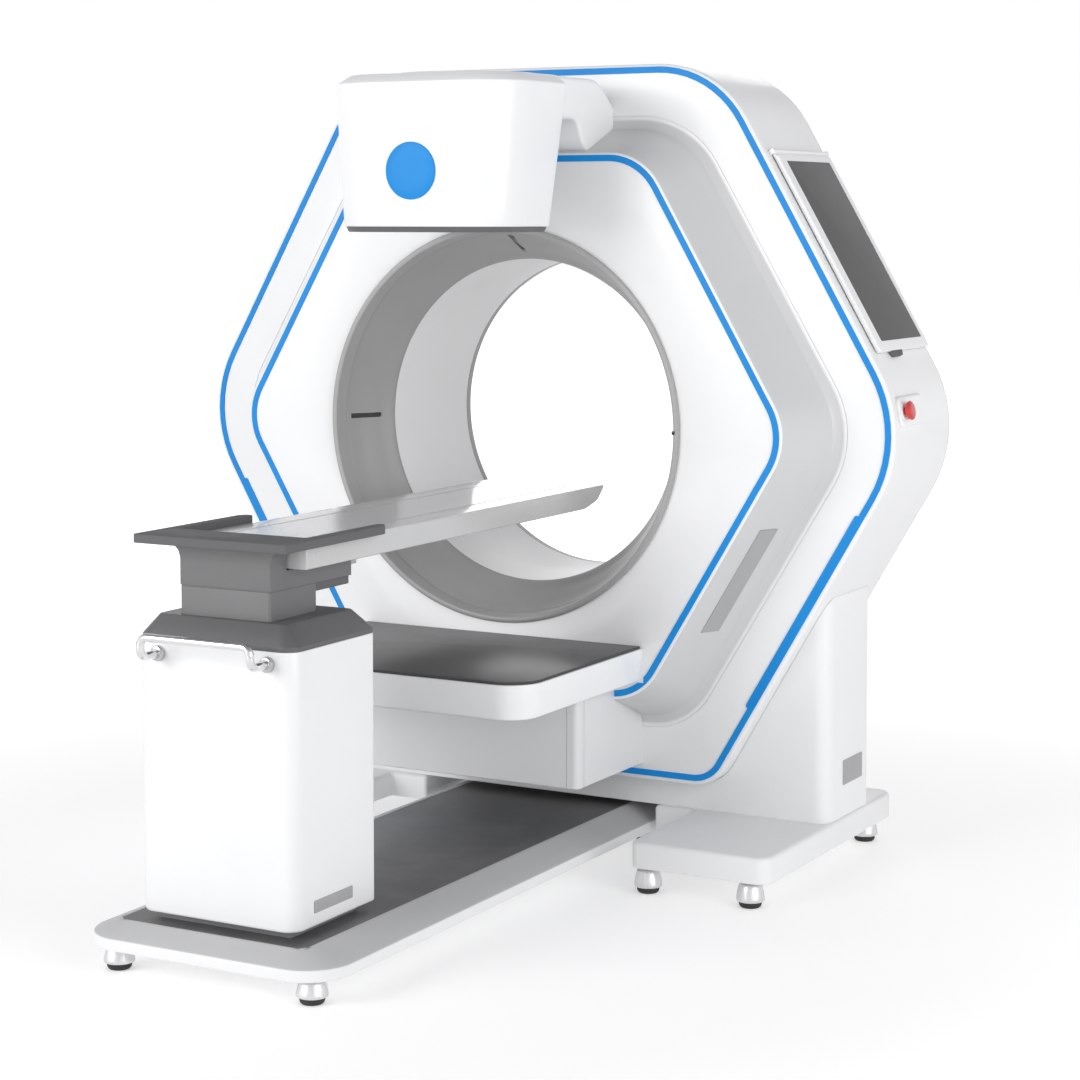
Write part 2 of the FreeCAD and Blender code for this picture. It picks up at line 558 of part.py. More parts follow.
tab = side_prism([(96.0, SCREEN_BOTTOM_S), (106.0, SCREEN_BOTTOM_S - 13.0), (148.0, SCREEN_BOTTOM_S - 13.0),
                  (158.0, SCREEN_BOTTOM_S)], [0, 4, 4, 0], SCREEN_BACK, SCREEN_FACE - 2.0)
save("screen_pull_tab", on_flank(tab))

housing = Part.makeBox(22.0, 146.0, 68.0, V(276.0, 22.0, -34.0))
housing = housing.makeFillet(9.0, [e for e in housing.Edges
                                   if e.BoundBox.XLength > 20 or e.BoundBox.XMin > 297])
housing = on_corner(housing).cut(cover_prism(0.0, 0.0, 400.0))
bushing = Part.makeCylinder(20.0, 4.5, V(296.0, ESTOP_Y, 0), V(1, 0, 0))
housing = housing.fuse(on_corner(bushing))
housing = housing.cut(on_corner(Part.makeCylinder(8.05, 80.0, V(250, ESTOP_Y, 0), V(1, 0, 0))))
save("stop_button_housing", housing.removeSplitter())
cap = Part.makeCone(18.0, 21.0, 7.0, V(306.0, ESTOP_Y, 0), V(1, 0, 0))
cap = cap.fuse(Part.makeCone(21.0, 15.0, 6.0, V(313.0, ESTOP_Y, 0), V(1, 0, 0)))
cap = cap.fuse(Part.makeCylinder(8.0, 26.0, V(281.0, ESTOP_Y, 0), V(1, 0, 0)))
save("stop_button", on_corner(cap.removeSplitter()))

# ---- couch ----
base_pts = [(-COUCH_HALF, COUCH_FRONT_Y), (COUCH_HALF, COUCH_FRONT_Y),
            (COUCH_HALF, COUCH_REAR_Y), (-COUCH_HALF, COUCH_REAR_Y)]
inner_pts = [(-INSET_HALF - 6, INSET_FRONT_Y - 6), (INSET_HALF + 6, INSET_FRONT_Y - 6),
             (INSET_HALF + 6, COUCH_REAR_Y - 30), (-INSET_HALF - 6, COUCH_REAR_Y - 30)]
low = rounded_wire(base_pts, [95, 95, 20, 20], lambda p: V(p.x, p.y, COUCH_SIDE_TOP))
high = rounded_wire(inner_pts, [40, 40, 8, 8], lambda p: V(p.x, p.y, COUCH_TOP))
couch_base = plan_prism(base_pts, [95, 95, 20, 20], COUCH_BOTTOM, COUCH_SIDE_TOP).fuse(loft([low, high]))
inset_cut = plan_box(-INSET_HALF, INSET_HALF, INSET_FRONT_Y, COUCH_REAR_Y - 40, [6, 6, 4, 4],
                     COUCH_TOP - 5.0, COUCH_TOP + 5)
couch_base = couch_base.cut(inset_cut)
for x, y in couch_spots:
    couch_base = couch_base.cut(rod_z(8.5, COUCH_BOTTOM - 1, COUCH_BOTTOM + 35, x, y))
save("couch_base_plate", couch_base.removeSplitter())
inset = plan_box(-INSET_HALF + 0.5, INSET_HALF - 0.5, INSET_FRONT_Y + 0.5, COUCH_REAR_Y - 40.5,
                 [6, 6, 4, 4], COUCH_TOP - 5.0, COUCH_TOP - 1.0)
save("couch_base_inset", inset)
column_frame = box(-COLUMN_HALF + 30, COLUMN_HALF - 30, COLUMN_FRONT_Y + 30, COLUMN_REAR_Y - 30,
                   COUCH_TOP - 1.0, COLUMN_BOTTOM + 10)
col_radii = [34, 34, 14, 14]
column = plan_box(-COLUMN_HALF, COLUMN_HALF, COLUMN_FRONT_Y, COLUMN_REAR_Y, col_radii,
                  COLUMN_BOTTOM, COLUMN_TOP)
column = column.cut(plan_box(-COLUMN_HALF + 4, COLUMN_HALF - 4, COLUMN_FRONT_Y + 4, COLUMN_REAR_Y - 4,
                             [30, 30, 10, 10], COLUMN_BOTTOM - 1, COLUMN_TOP + 1))
for x in (-127.0, 127.0):
    column = column.cut(rod_y(5.0, COLUMN_FRONT_Y - 2, COLUMN_FRONT_Y + 6, x, 628.0))
save("column_shell", column)
collar = loft([
    rounded_wire([(-COLUMN_HALF, COLUMN_FRONT_Y), (COLUMN_HALF, COLUMN_FRONT_Y),
                  (COLUMN_HALF, COLUMN_REAR_Y), (-COLUMN_HALF, COLUMN_REAR_Y)], col_radii,
                 lambda p: V(p.x, p.y, COLUMN_TOP + 10)),
    rounded_wire([(-COLUMN_HALF + 34, COLUMN_FRONT_Y + 26), (COLUMN_HALF - 34, COLUMN_FRONT_Y + 26),
                  (COLUMN_HALF - 34, COLUMN_REAR_Y - 30), (-COLUMN_HALF + 34, COLUMN_REAR_Y - 30)],
                 [14, 14, 8, 8], lambda p: V(p.x, p.y, COLLAR_TOP))])
collar = collar.fuse(plan_box(-COLUMN_HALF, COLUMN_HALF, COLUMN_FRONT_Y, COLUMN_REAR_Y, col_radii,
                              COLUMN_TOP, COLUMN_TOP + 10))
collar = collar.cut(box(-PILLAR_HALF - 0.4, PILLAR_HALF + 0.4, PILLAR_FRONT_Y - 0.4,
                        PILLAR_REAR_Y + 0.4, COLUMN_TOP - 1, COLLAR_TOP + 1))
save("column_collar", collar.removeSplitter())
grille = box(COLUMN_HALF, COLUMN_HALF + 1.0, -1172.0, -1040.0, 146.0, 170.0)
for k in range(12):
    y = -1168.0 + 10.6 * k
    grille = grille.fuse(box(COLUMN_HALF, COLUMN_HALF + 2.5, y, y + 6.6, 149.0, 167.0))
save("vent_grilles", group([stand_grille, mirrored(stand_grille), grille.removeSplitter()]))

HANDLE_Y = COLUMN_FRONT_Y - 58.0
HANDLE_R = 8.0
path_pts = [V(-127, COLUMN_FRONT_Y - 10, 628), V(-127, HANDLE_Y, 628), V(-127, HANDLE_Y, 668),
            V(127, HANDLE_Y, 668), V(127, HANDLE_Y, 628), V(127, COLUMN_FRONT_Y - 10, 628)]
handle = None
for i in range(len(path_pts) - 1):
    a = path_pts[i]
    b = path_pts[i + 1]
    seg = Part.makeCylinder(HANDLE_R, b.sub(a).Length, a, b.sub(a))
    joint = Part.makeSphere(HANDLE_R, b)
    handle = seg if handle is None else handle.fuse(seg)
    if i < len(path_pts) - 2:
        handle = handle.fuse(joint)
save("handle_bar", handle.removeSplitter())
bosses = []
for x in (-127.0, 127.0):
    boss = rod_y(15.0, COLUMN_FRONT_Y - 10.0, COLUMN_FRONT_Y, x, 628.0)
    bosses.append(boss.fuse(rod_y(4.5, COLUMN_FRONT_Y, COLUMN_FRONT_Y + 16.0, x, 628.0)))
save("handle_bosses", group(bosses))

# ---- lift ----
pillar = box(-PILLAR_HALF, PILLAR_HALF, PILLAR_FRONT_Y, PILLAR_REAR_Y, 330.0, PILLAR_TOP)
pillar = pillar.cut(box(-PILLAR_HALF + 8, PILLAR_HALF - 8, PILLAR_FRONT_Y + 8, PILLAR_REAR_Y - 8,
                        329.0, PILLAR_TOP - 15.0))
nut = box(-PILLAR_HALF + 8, PILLAR_HALF - 8, PILLAR_FRONT_Y + 8, PILLAR_REAR_Y - 8, 330.0, 352.0)
PILLAR_MID_Y = (PILLAR_FRONT_Y + PILLAR_REAR_Y) / 2.0
nut = nut.cut(rod_z(12.55, 320.0, 360.0, 0, PILLAR_MID_Y))
save("lift_pillar", pillar.fuse(nut).removeSplitter())
screw = rod_z(12.5, COLUMN_BOTTOM + 40.0, 640.0, 0, PILLAR_MID_Y)
save("lift_screw", screw)
gearbox = box(-60, 60, PILLAR_MID_Y - 55, PILLAR_MID_Y + 55, COLUMN_BOTTOM + 10, COLUMN_BOTTOM + 70)
gearbox = gearbox.cut(rod_z(12.5, COLUMN_BOTTOM + 40, COLUMN_BOTTOM + 80, 0, PILLAR_MID_Y))
gearbox = gearbox.fuse(rod_y(38.0, PILLAR_MID_Y + 55, COLUMN_REAR_Y - 12, 0, COLUMN_BOTTOM + 52))
save("lift_gearmotor", gearbox.removeSplitter())
guide = box(-PILLAR_HALF - 40, PILLAR_HALF + 40, PILLAR_FRONT_Y - 22, PILLAR_REAR_Y + 40, 600.0, 640.0)
guide = guide.cut(box(-PILLAR_HALF - SLIDE_GAP, PILLAR_HALF + SLIDE_GAP, PILLAR_FRONT_Y - SLIDE_GAP,
                      PILLAR_REAR_Y + SLIDE_GAP, 590.0, 650.0))
save("lift_guide_block", guide)
for x in (-1, 1):
    column_frame = column_frame.fuse(box(x * 128 - 14, x * 128 + 14, COLUMN_REAR_Y - 90, COLUMN_REAR_Y - 60,
                     COLUMN_BOTTOM + 10, 600.0))
    column_frame = column_frame.fuse(box(x * 128 - 14, x * 128 + 14, COLUMN_FRONT_Y + 42, COLUMN_FRONT_Y + 66,
                     COLUMN_BOTTOM + 10, 600.0))
save("column_frame", column_frame.removeSplitter())

floor = box(-PILLAR_HALF, PILLAR_HALF, PILLAR_FRONT_Y, CHANNEL_END_Y, PILLAR_TOP, CHANNEL_TOP)
floor = floor.cut(box(-PILLAR_HALF + 8, PILLAR_HALF - 8, PILLAR_FRONT_Y - 1, CHANNEL_END_Y + 1,
                      CHANNEL_FLOOR, CHANNEL_TOP + 1))
wall_top = CARRIER_TOP - 18
front_wall = front_prism([(-PILLAR_HALF, CHANNEL_FLOOR), (PILLAR_HALF, CHANNEL_FLOOR), (PILLAR_HALF, 811),
                          (PILLAR_HALF + 20, wall_top), (-PILLAR_HALF - 20, wall_top),
                          (-PILLAR_HALF, 811)], [0] * 6, PILLAR_FRONT_Y, TABLE_REAR_Y - 6.0)
save("carrier_bracket", floor.fuse(front_wall).removeSplitter())
u_pts = [(-CARRIER_HALF, CARRIER_FRONT_Y), (CARRIER_HALF, CARRIER_FRONT_Y),
         (CARRIER_HALF, CARRIER_TIP_Y - 14), (CARRIER_HALF - 10, CARRIER_TIP_Y),
         (TABLE_HALF + 3, CARRIER_TIP_Y), (TABLE_HALF + 3, TABLE_REAR_Y - 4),
         (-TABLE_HALF - 3, TABLE_REAR_Y - 4), (-TABLE_HALF - 3, CARRIER_TIP_Y),
         (-CARRIER_HALF + 10, CARRIER_TIP_Y), (-CARRIER_HALF, CARRIER_TIP_Y - 14)]
carrier = plan_prism(u_pts, [4, 4, 4, 4, 0, 0, 0, 0, 4, 4], CARRIER_TOP - 18, CARRIER_TOP)
save("carrier_plate", carrier)
drive = box(-98, 98, PILLAR_REAR_Y + 1, CHANNEL_END_Y, 737.0, PILLAR_TOP - 0.5)
save("table_drive_box", drive)
blocks = []
for x in (-60.0, 60.0):
    block = box(x - 24, x + 24, -1120.0, -868.0, CHANNEL_FLOOR, TABLE_BOTTOM - 2.0)
    blocks.append(block.cut(box(x - 10.4, x + 10.4, -1121.0, -867.0, RAIL_BOTTOM - 0.5, TABLE_BOTTOM)))
save("table_guide_blocks", group(blocks))
rails = []
for x in (-60.0, 60.0):
    rails.append(box(x - 10.0, x + 10.0, TABLE_REAR_Y + 10, -140.0, RAIL_BOTTOM, TABLE_BOTTOM))
save("table_rails", group(rails))

slab_pts = [(TABLE_REAR_Y, TABLE_BOTTOM), (TABLE_TIP_Y - 90, TABLE_BOTTOM),
            (TABLE_TIP_Y - 30, TABLE_BOTTOM + 14),
            (TABLE_TIP_Y, TABLE_TOP - 6), (TABLE_TIP_Y, TABLE_TOP), (TABLE_REAR_Y, TABLE_TOP)]
slab = side_prism(slab_pts, [0, 90, 30, 3, 0, 0], -TABLE_HALF, TABLE_HALF)
long_edges = []
for e in slab.Edges:
    bb = e.BoundBox
    if bb.YLength > 900 and bb.ZMin > TABLE_TOP - 1:
        long_edges.append(e)
slab = slab.makeFillet(3.0, long_edges)
for x in (-88.0, 88.0):
    slab = slab.cut(box(x - 3.0, x + 3.0, TABLE_REAR_Y - 1, TABLE_TIP_Y - 60, TABLE_TOP - 3, TABLE_TOP + 1))
save("table_slab", slab)
print("done")
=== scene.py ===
import math

import bmesh
import bpy
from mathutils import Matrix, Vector


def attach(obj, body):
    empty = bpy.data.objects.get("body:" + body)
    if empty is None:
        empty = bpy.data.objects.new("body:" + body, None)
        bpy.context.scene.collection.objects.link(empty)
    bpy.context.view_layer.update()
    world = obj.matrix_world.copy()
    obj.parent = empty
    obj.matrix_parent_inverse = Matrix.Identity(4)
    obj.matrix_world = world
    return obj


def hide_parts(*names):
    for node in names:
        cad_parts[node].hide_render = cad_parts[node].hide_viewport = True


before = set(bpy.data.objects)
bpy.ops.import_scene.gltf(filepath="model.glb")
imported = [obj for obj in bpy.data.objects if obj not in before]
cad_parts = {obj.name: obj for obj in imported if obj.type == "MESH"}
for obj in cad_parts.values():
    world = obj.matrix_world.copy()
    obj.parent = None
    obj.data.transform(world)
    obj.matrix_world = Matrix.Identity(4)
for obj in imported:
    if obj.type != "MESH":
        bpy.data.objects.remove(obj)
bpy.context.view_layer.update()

# Sizes are millimetres from the middle of the ring's front band; +Z is up and -Y faces the couch.
MM = 0.001
ALONG_SHIFT = 433.0
HEX_Z = 988.0
BORE_Z = 992.0
SIN60 = math.sin(math.radians(60))

COVER = (937.0, 812.0, 806.0, (290.0, 250.0, 95.0))
RIDGE = (790.0, 672.0, 657.0, (190.0, 190.0, 150.0))
PANEL = (714.0, 613.0, 597.0, (140.0, 140.0, 130.0))
OUTER_LINE = (918.0, 799.0, 788.0, (272.0, 235.0, 72.0))
INNER_LINE = (698.0, 601.0, 584.0, (128.0, 130.0, 120.0))
PANEL_Y = -143.0
FLANK_ANGLE = math.atan2(COVER[0] / 2.0, COVER[1])


# ---- camera, light and floor
def into_scene(name, data):
    thing = bpy.data.objects.new(name, data)
    bpy.context.scene.collection.objects.link(thing)
    return thing


def set_inputs(node, **values):
    for label, value in values.items():
        node.inputs[label.replace("_", " ")].default_value = value
    return node


def new_node(tree, kind, **values):
    return set_inputs(tree.nodes.new(kind), **values)


def wire(tree, *links):
    # a link is (node, output, node, input), or (output socket, node, input)
    for *source, target, entry in links:
        socket = source[0].outputs[source[1]] if len(source) == 2 else source[0]
        tree.links.new(socket, target.inputs[entry])


def set_camera():
    lens = bpy.data.cameras.new("studio_camera")
    lens.lens = 83.765
    lens.sensor_width = 36.0
    lens.shift_y = -0.130
    camera = into_scene("studio_camera", lens)
    camera.location = (2.81804, -4.61936, 1.46731)
    camera.rotation_euler = (math.radians(90.0 - 4.232), 0.0, math.radians(28.9478))
    bpy.context.scene.camera = camera


def soft_box(name, place, aim, size, power):
    lamp = bpy.data.lights.new(name, "AREA")
    lamp.shape = "RECTANGLE"
    lamp.size, lamp.size_y = size
    lamp.energy = power
    lamp_object = into_scene(name, lamp)
    lamp_object.location = place
    lamp_object.rotation_euler = (Vector(aim) - Vector(place)).to_track_quat("-Z", "Y").to_euler()


def light_studio():
    world = bpy.data.worlds.new("studio_air")
    bpy.context.scene.world = world
    world.use_nodes = True
    tree = world.node_tree
    tree.nodes.clear()
    out = new_node(tree, "ShaderNodeOutputWorld")
    seen = new_node(tree, "ShaderNodeBackground", Color=(1.0, 1.0, 1.0, 1.0))
    lit = new_node(tree, "ShaderNodeBackground", Strength=1.06)
    where, split = new_node(tree, "ShaderNodeTexCoord"), new_node(tree, "ShaderNodeSeparateXYZ")
    ramp = new_node(tree, "ShaderNodeValToRGB")
    below, above = ramp.color_ramp.elements
    below.position, below.color = 0.0, (0.97, 0.97, 0.98, 1.0)
    above.position, above.color = 0.8, (0.27, 0.27, 0.275, 1.0)
    path, mix = new_node(tree, "ShaderNodeLightPath"), new_node(tree, "ShaderNodeMixShader")
    wire(tree, (where, "Generated", split, "Vector"), (split, "Z", ramp, "Fac"),
         (ramp, "Color", lit, "Color"), (path, "Is Camera Ray", mix, "Fac"), (lit, "Background", mix, 1),
         (seen, "Background", mix, 2), (mix, "Shader", out, "Surface"))
    bpy.context.scene.view_settings.view_transform = "Standard"
    soft_box("front_key", (-2.6, -5.4, 2.6), (0.0, 0.2, 1.1), (3.4, 3.4), 165.0)
    soft_box("right_fill", (5.0, -1.6, 1.9), (0.4, 0.3, 0.9), (3.0, 3.0), 86.0)
    soft_box("rear_fill", (-2.4, 5.0, 2.2), (0.0, 0.4, 1.1), (3.6, 3.0), 50.0)


def lay_floor():
    mesh = bpy.data.meshes.new("studio_floor")
    far = 40.0
    mesh.from_pydata([(-far, -far, 0), (far, -far, 0), (far, far, 0), (-far, far, 0)], [], [(0, 1, 2, 3)])
    floor = into_scene("studio_floor", mesh)
    material = bpy.data.materials.new("studio_floor")
    material.use_nodes = True
    tree = material.node_tree
    shader = set_inputs(tree.nodes["Principled BSDF"], Base_Color=(0.80, 0.80, 0.80, 1.0), Roughness=0.8,
                        Specular_IOR_Level=0.1)
    glow, path = new_node(tree, "ShaderNodeEmission"), new_node(tree, "ShaderNodeLightPath")
    where, far_off = new_node(tree, "ShaderNodeTexCoord"), new_node(tree, "ShaderNodeVectorMath")
    far_off.operation = "LENGTH"
    lift = new_node(tree, "ShaderNodeMapRange", From_Min=1.2, From_Max=6.0, To_Min=0.38, To_Max=0.95)
    strength = new_node(tree, "ShaderNodeMix", A=0.28)
    add = new_node(tree, "ShaderNodeAddShader")
    wire(tree, (where, "Object", far_off, 0), (far_off, "Value", lift, "Value"),
         (lift, "Result", strength, "B"),
         (path, "Is Camera Ray", strength, "Factor"), (strength, "Result", glow, "Strength"),
         (shader, "BSDF", add, 0), (glow, "Emission", add, 1),
         (add, "Shader", tree.nodes["Material Output"], "Surface"))
    mesh.materials.append(material)


set_camera()
light_studio()
lay_floor()


# ---- shader groups
def new_group(name, ins, outs):
    tree = bpy.data.node_groups.new(name, "ShaderNodeTree")
    for label, kind, value in (("Place", "Vector", (0, 0, 0)), *ins):
        socket = tree.interface.new_socket(label, in_out="INPUT", socket_type="NodeSocket" + kind)
        socket.default_value = value
    for label in outs:
        tree.interface.new_socket(label, in_out="OUTPUT", socket_type="NodeSocketFloat")
    return tree, tree.nodes.new("NodeGroupInput"), tree.nodes.new("NodeGroupOutput")


def feed(tree, value, socket):
    if isinstance(value, (int, float)):
        socket.default_value = value
    elif value is not None:
        tree.links.new(value, socket)


def math_node(tree, operation, a=None, b=None):
    node = new_node(tree, "ShaderNodeMath")
    node.operation = operation
    feed(tree, a, node.inputs[0])
    feed(tree, b, node.inputs[1])
    return node.outputs["Value"]


def noise_node(tree, vector, scale, detail=3.0, rough=0.55):
    node = new_node(tree, "ShaderNodeTexNoise", Detail=detail, Roughness=rough)
    wire(tree, (vector, node, "Vector"))
    feed(tree, scale, node.inputs["Scale"])
    return node.outputs["Fac"]


def spread(tree, value, low, high, to_low=0.0, to_high=1.0):
    node = new_node(tree, "ShaderNodeMapRange", From_Min=low, From_Max=high, To_Min=to_low, To_Max=to_high)
    wire(tree, (value, node, "Value"))
    return node.outputs["Result"]


def build_skin_grain():
    # fine orange peel of a sprayed or moulded surface, with broad cloudy variation
    tree, given, out = new_group(
        "skin_grain", [("Grain Scale", "Float", 900.0), ("Cloud Scale", "Float", 3.0)],
        ["Height", "Cloud", "Speck"])
    place, grain = given.outputs["Place"], given.outputs["Grain Scale"]
    fine = noise_node(tree, place, grain, 2.0, 0.5)
    cloud = noise_node(tree, place, given.outputs["Cloud Scale"], 4.0, 0.6)
    speck = noise_node(tree, place, math_node(tree, "MULTIPLY", grain, 0.45), 1.0, 0.4)
    wire(tree, (fine, out, "Height"), (spread(tree, cloud, 0.3, 0.7), out, "Cloud"),
         (spread(tree, speck, 0.56, 0.70), out, "Speck"))
    return tree


def build_settled_dust():
    # thin dust that gathers on faces that look up, broken by a slow noise
    tree, given, out = new_group("settled_dust", [("Amount", "Float", 0.15)], ["Mask"])
    geometry, split = new_node(tree, "ShaderNodeNewGeometry"), new_node(tree, "ShaderNodeSeparateXYZ")
    wire(tree, (geometry, "Normal", split, "Vector"))
    upward = spread(tree, split.outputs["Z"], 0.55, 1.0)
    patch = spread(tree, noise_node(tree, given.outputs["Place"], 9.0, 5.0, 0.65), 0.38, 0.72)
    mask = math_node(tree, "MULTIPLY", math_node(tree, "MULTIPLY", upward, patch), given.outputs["Amount"])
    wire(tree, (mask, out, "Mask"))
    return tree


def build_brush_lines():
    # long fine scratches along one axis, as a brushing belt leaves
    tree, given, out = new_group(
        "brush_lines", [("Stretch", "Vector", (40.0, 2.0, 900.0))], ["Height", "Streak"])
    scaled = new_node(tree, "ShaderNodeVectorMath")
    scaled.operation = "MULTIPLY"
    wire(tree, (given, "Place", scaled, 0), (given, "Stretch", scaled, 1))
    lines = noise_node(tree, scaled.outputs["Vector"], 1.0, 4.0, 0.6)
    wire(tree, (lines, out, "Height"), (spread(tree, lines, 0.35, 0.65), out, "Streak"))
    return tree


def build_cloth_weave():
    # the plain weave that shows faintly through a composite sheet's clear coat
    tree, given, out = new_group("cloth_weave", [("Threads", "Float", 420.0)], ["Height", "Tone"])
    split = new_node(tree, "ShaderNodeSeparateXYZ")
    wire(tree, (given, "Place", split, "Vector"))
    pitch = given.outputs["Threads"]
    warp, weft = (math_node(tree, "SINE", math_node(tree, "MULTIPLY", split.outputs[axis], pitch))
                  for axis in "XY")
    tone = spread(tree, math_node(tree, "MULTIPLY", warp, weft), -1.0, 1.0)
    wire(tree, (tone, out, "Height"), (tone, out, "Tone"))
    return tree


SKIN_GRAIN = build_skin_grain()
SETTLED_DUST = build_settled_dust()
BRUSH_LINES = build_brush_lines()
CLOTH_WEAVE = build_cloth_weave()


# ---- materials
def start_material(name):
    material = bpy.data.materials.new(name)
    material.use_nodes = True
    tree = material.node_tree
    place = new_node(tree, "ShaderNodeTexCoord").outputs["Object"]
    return material, tree, tree.nodes["Principled BSDF"], place


def use_group(tree, group, place, **values):
    node = new_node(tree, "ShaderNodeGroup")
    node.node_tree = group
    wire(tree, (place, node, "Place"))
    return set_inputs(node, **values)


def blend_colours(tree, factor, first, second):
    # a colour is (red, green, blue), one number for a neutral grey, or a socket
    node = new_node(tree, "ShaderNodeMix")
    node.data_type = "RGBA"
    wire(tree, (factor, node, "Factor"))
    a, b, mixed = [socket for socket in (*node.inputs, *node.outputs) if socket.type == "RGBA"]
    for socket, colour in ((a, first), (b, second)):
        if isinstance(colour, float):
            colour = (colour, colour, colour)
        if isinstance(colour, tuple):
            socket.default_value = (*colour, 1.0)
        else:
            tree.links.new(colour, socket)
    return mixed


def bump(tree, shader, height, strength, distance):
    node = new_node(tree, "ShaderNodeBump", Strength=strength, Distance=distance)
    wire(tree, (height, node, "Height"), (node, "Normal", shader, "Normal"))


def painted(name, light, dark, rough, grain=900.0, depth=0.00004, dust=0.12, coat=0.0, gloss=0.5):
    material, tree, shader, place = start_material(name)
    skin = use_group(tree, SKIN_GRAIN, place, Grain_Scale=grain)
    settled = use_group(tree, SETTLED_DUST, place, Amount=dust)
    cloud, mask = skin.outputs["Cloud"], settled.outputs["Mask"]
    dusty = blend_colours(tree, mask, blend_colours(tree, cloud, light, dark), (0.62, 0.61, 0.59))
    roughness = math_node(tree, "ADD", spread(tree, cloud, 0.0, 1.0, rough - 0.03, rough + 0.04),
                          math_node(tree, "MULTIPLY", mask, 0.5))
    wire(tree, (dusty, shader, "Base Color"), (roughness, shader, "Roughness"))
    set_inputs(shader, Specular_IOR_Level=gloss, Coat_Weight=coat, Coat_Roughness=0.08)
    bump(tree, shader, skin.outputs["Height"], 0.5, depth)
    return material


def brushed(name, light, dark, rough, stretch):
    material, tree, shader, place = start_material(name)
    lines = use_group(tree, BRUSH_LINES, place, Stretch=stretch)
    streak = lines.outputs["Streak"]
    wire(tree, (blend_colours(tree, streak, light, dark), shader, "Base Color"),
         (spread(tree, streak, 0.0, 1.0, rough - 0.06, rough + 0.08), shader, "Roughness"))
    set_inputs(shader, Metallic=1.0)
    bump(tree, shader, lines.outputs["Height"], 0.4, 0.00003)
    return material


def painted_shade_band(material, axis, low, high, edge, shade):
    # painted shade: a darker field between two levels along one axis, with a soft edge of the given width
    tree = material.node_tree
    base = tree.nodes["Principled BSDF"].inputs["Base Color"]
    split = new_node(tree, "ShaderNodeSeparateXYZ")
    wire(tree, (tree.nodes["Texture Coordinate"], "Object", split, "Vector"))
    above = spread(tree, split.outputs[axis], low, low + edge)
    below = spread(tree, split.outputs[axis], high, high - edge)
    field = math_node(tree, "MULTIPLY", math_node(tree, "MULTIPLY", above, below), shade)
    tree.links.new(blend_colours(tree, field, base.links[0].from_socket, (0.0, 0.0, 0.0)), base)
    return material


def light_strip():
    material, tree, shader, place = start_material("blue_light_strip")
    skin = use_group(tree, SKIN_GRAIN, place, Grain_Scale=320.0, Cloud_Scale=6.0)
    tone = blend_colours(tree, skin.outputs["Cloud"], (0.006, 0.235, 0.620), (0.004, 0.212, 0.575))
    wire(tree, (tone, shader, "Base Color"),
         (spread(tree, skin.outputs["Speck"], 0.0, 1.0, 0.42, 0.50), shader, "Roughness"))
    # the faint blue emission is painted glow that keeps the blue of the strips and the head's disc vivid
    set_inputs(shader, Specular_IOR_Level=0.25, Emission_Color=(0.0, 0.30, 0.85, 1.0), Emission_Strength=0.10)
    bump(tree, shader, skin.outputs["Height"], 0.4, 0.00006)
    return material


def table_sheet():
    material, tree, shader, place = start_material("composite_table_sheet")
    weave = use_group(tree, CLOTH_WEAVE, place, Threads=1800.0)
    skin = use_group(tree, SKIN_GRAIN, place, Grain_Scale=500.0, Cloud_Scale=2.2)
    tone = blend_colours(tree, skin.outputs["Cloud"], 0.60, 0.57)
    woven = blend_colours(tree, spread(tree, weave.outputs["Tone"], 0.0, 1.0, 0.0, 0.16), tone, 0.36)
    wire(tree, (woven, shader, "Base Color"),
         (spread(tree, skin.outputs["Cloud"], 0.0, 1.0, 0.22, 0.30), shader, "Roughness"))
    set_inputs(shader, Coat_Weight=0.5, Coat_Roughness=0.12)
    bump(tree, shader, weave.outputs["Height"], 0.15, 0.00003)
    return material


def dark_glass(name, light, dark, rough, gloss):
    material, tree, shader, place = start_material(name)
    cloud = use_group(tree, SKIN_GRAIN, place, Grain_Scale=60.0, Cloud_Scale=7.0).outputs["Cloud"]
    wire(tree, (blend_colours(tree, cloud, light, dark), shader, "Base Color"),
         (spread(tree, cloud, 0.0, 1.0, rough, rough + 0.03), shader, "Roughness"))
    set_inputs(shader, Specular_IOR_Level=gloss)
    return material


# light tone, dark tone, roughness, grain scale, grain depth, dust, clear coat
GELCOAT = ((0.86, 0.865, 0.87), (0.835, 0.84, 0.845), 0.34, 900.0, 0.00004, 0.05, 0.25)
POWDER_COAT = ((0.84, 0.845, 0.85), (0.81, 0.815, 0.82), 0.42, 650.0, 0.00008, 0.08)
WHITE = painted("white_gelcoat", *GELCOAT)
# painted shade: the sloped recess between the ridge and the panel is darkened in its colour
COVER_WHITE = painted_shade_band(painted("white_cover_with_accent", *GELCOAT), "Y",
                          (ALONG_SHIFT + PANEL_Y + 0.6) * MM, (ALONG_SHIFT - 0.02) * MM, 0.0012, 0.29)
# painted shade: the upward sloping rim round the couch base's mat is darkened in its colour
RIM_WHITE = painted_shade_band(painted("white_base_with_accent", *POWDER_COAT), "Z", 0.0745, 0.112, 0.0015, 0.36)
POWDER = painted("white_powder_coat", *POWDER_COAT)
FLANGE_GREY = painted("ring_grey", 0.38, 0.355, 0.42)
WINDOW_GREY = painted("window_ring_grey", 0.37, (0.34, 0.34, 0.343), 0.38)
LINER = painted("bore_liner", (0.84, 0.84, 0.845), (0.81, 0.81, 0.815), 0.40)
LASER_BLACK = painted("laser_window_black", (0.012, 0.012, 0.013), (0.02, 0.02, 0.021), 0.12, coat=0.6)
COLLAR_GREY = painted("collar_textured_grey", (0.125, 0.125, 0.128), (0.105, 0.105, 0.108), 0.46,
                      grain=420.0, depth=0.00012)
PILLAR_GREY = painted("pillar_satin_grey", (0.165, 0.165, 0.168), (0.15, 0.15, 0.153), 0.42)
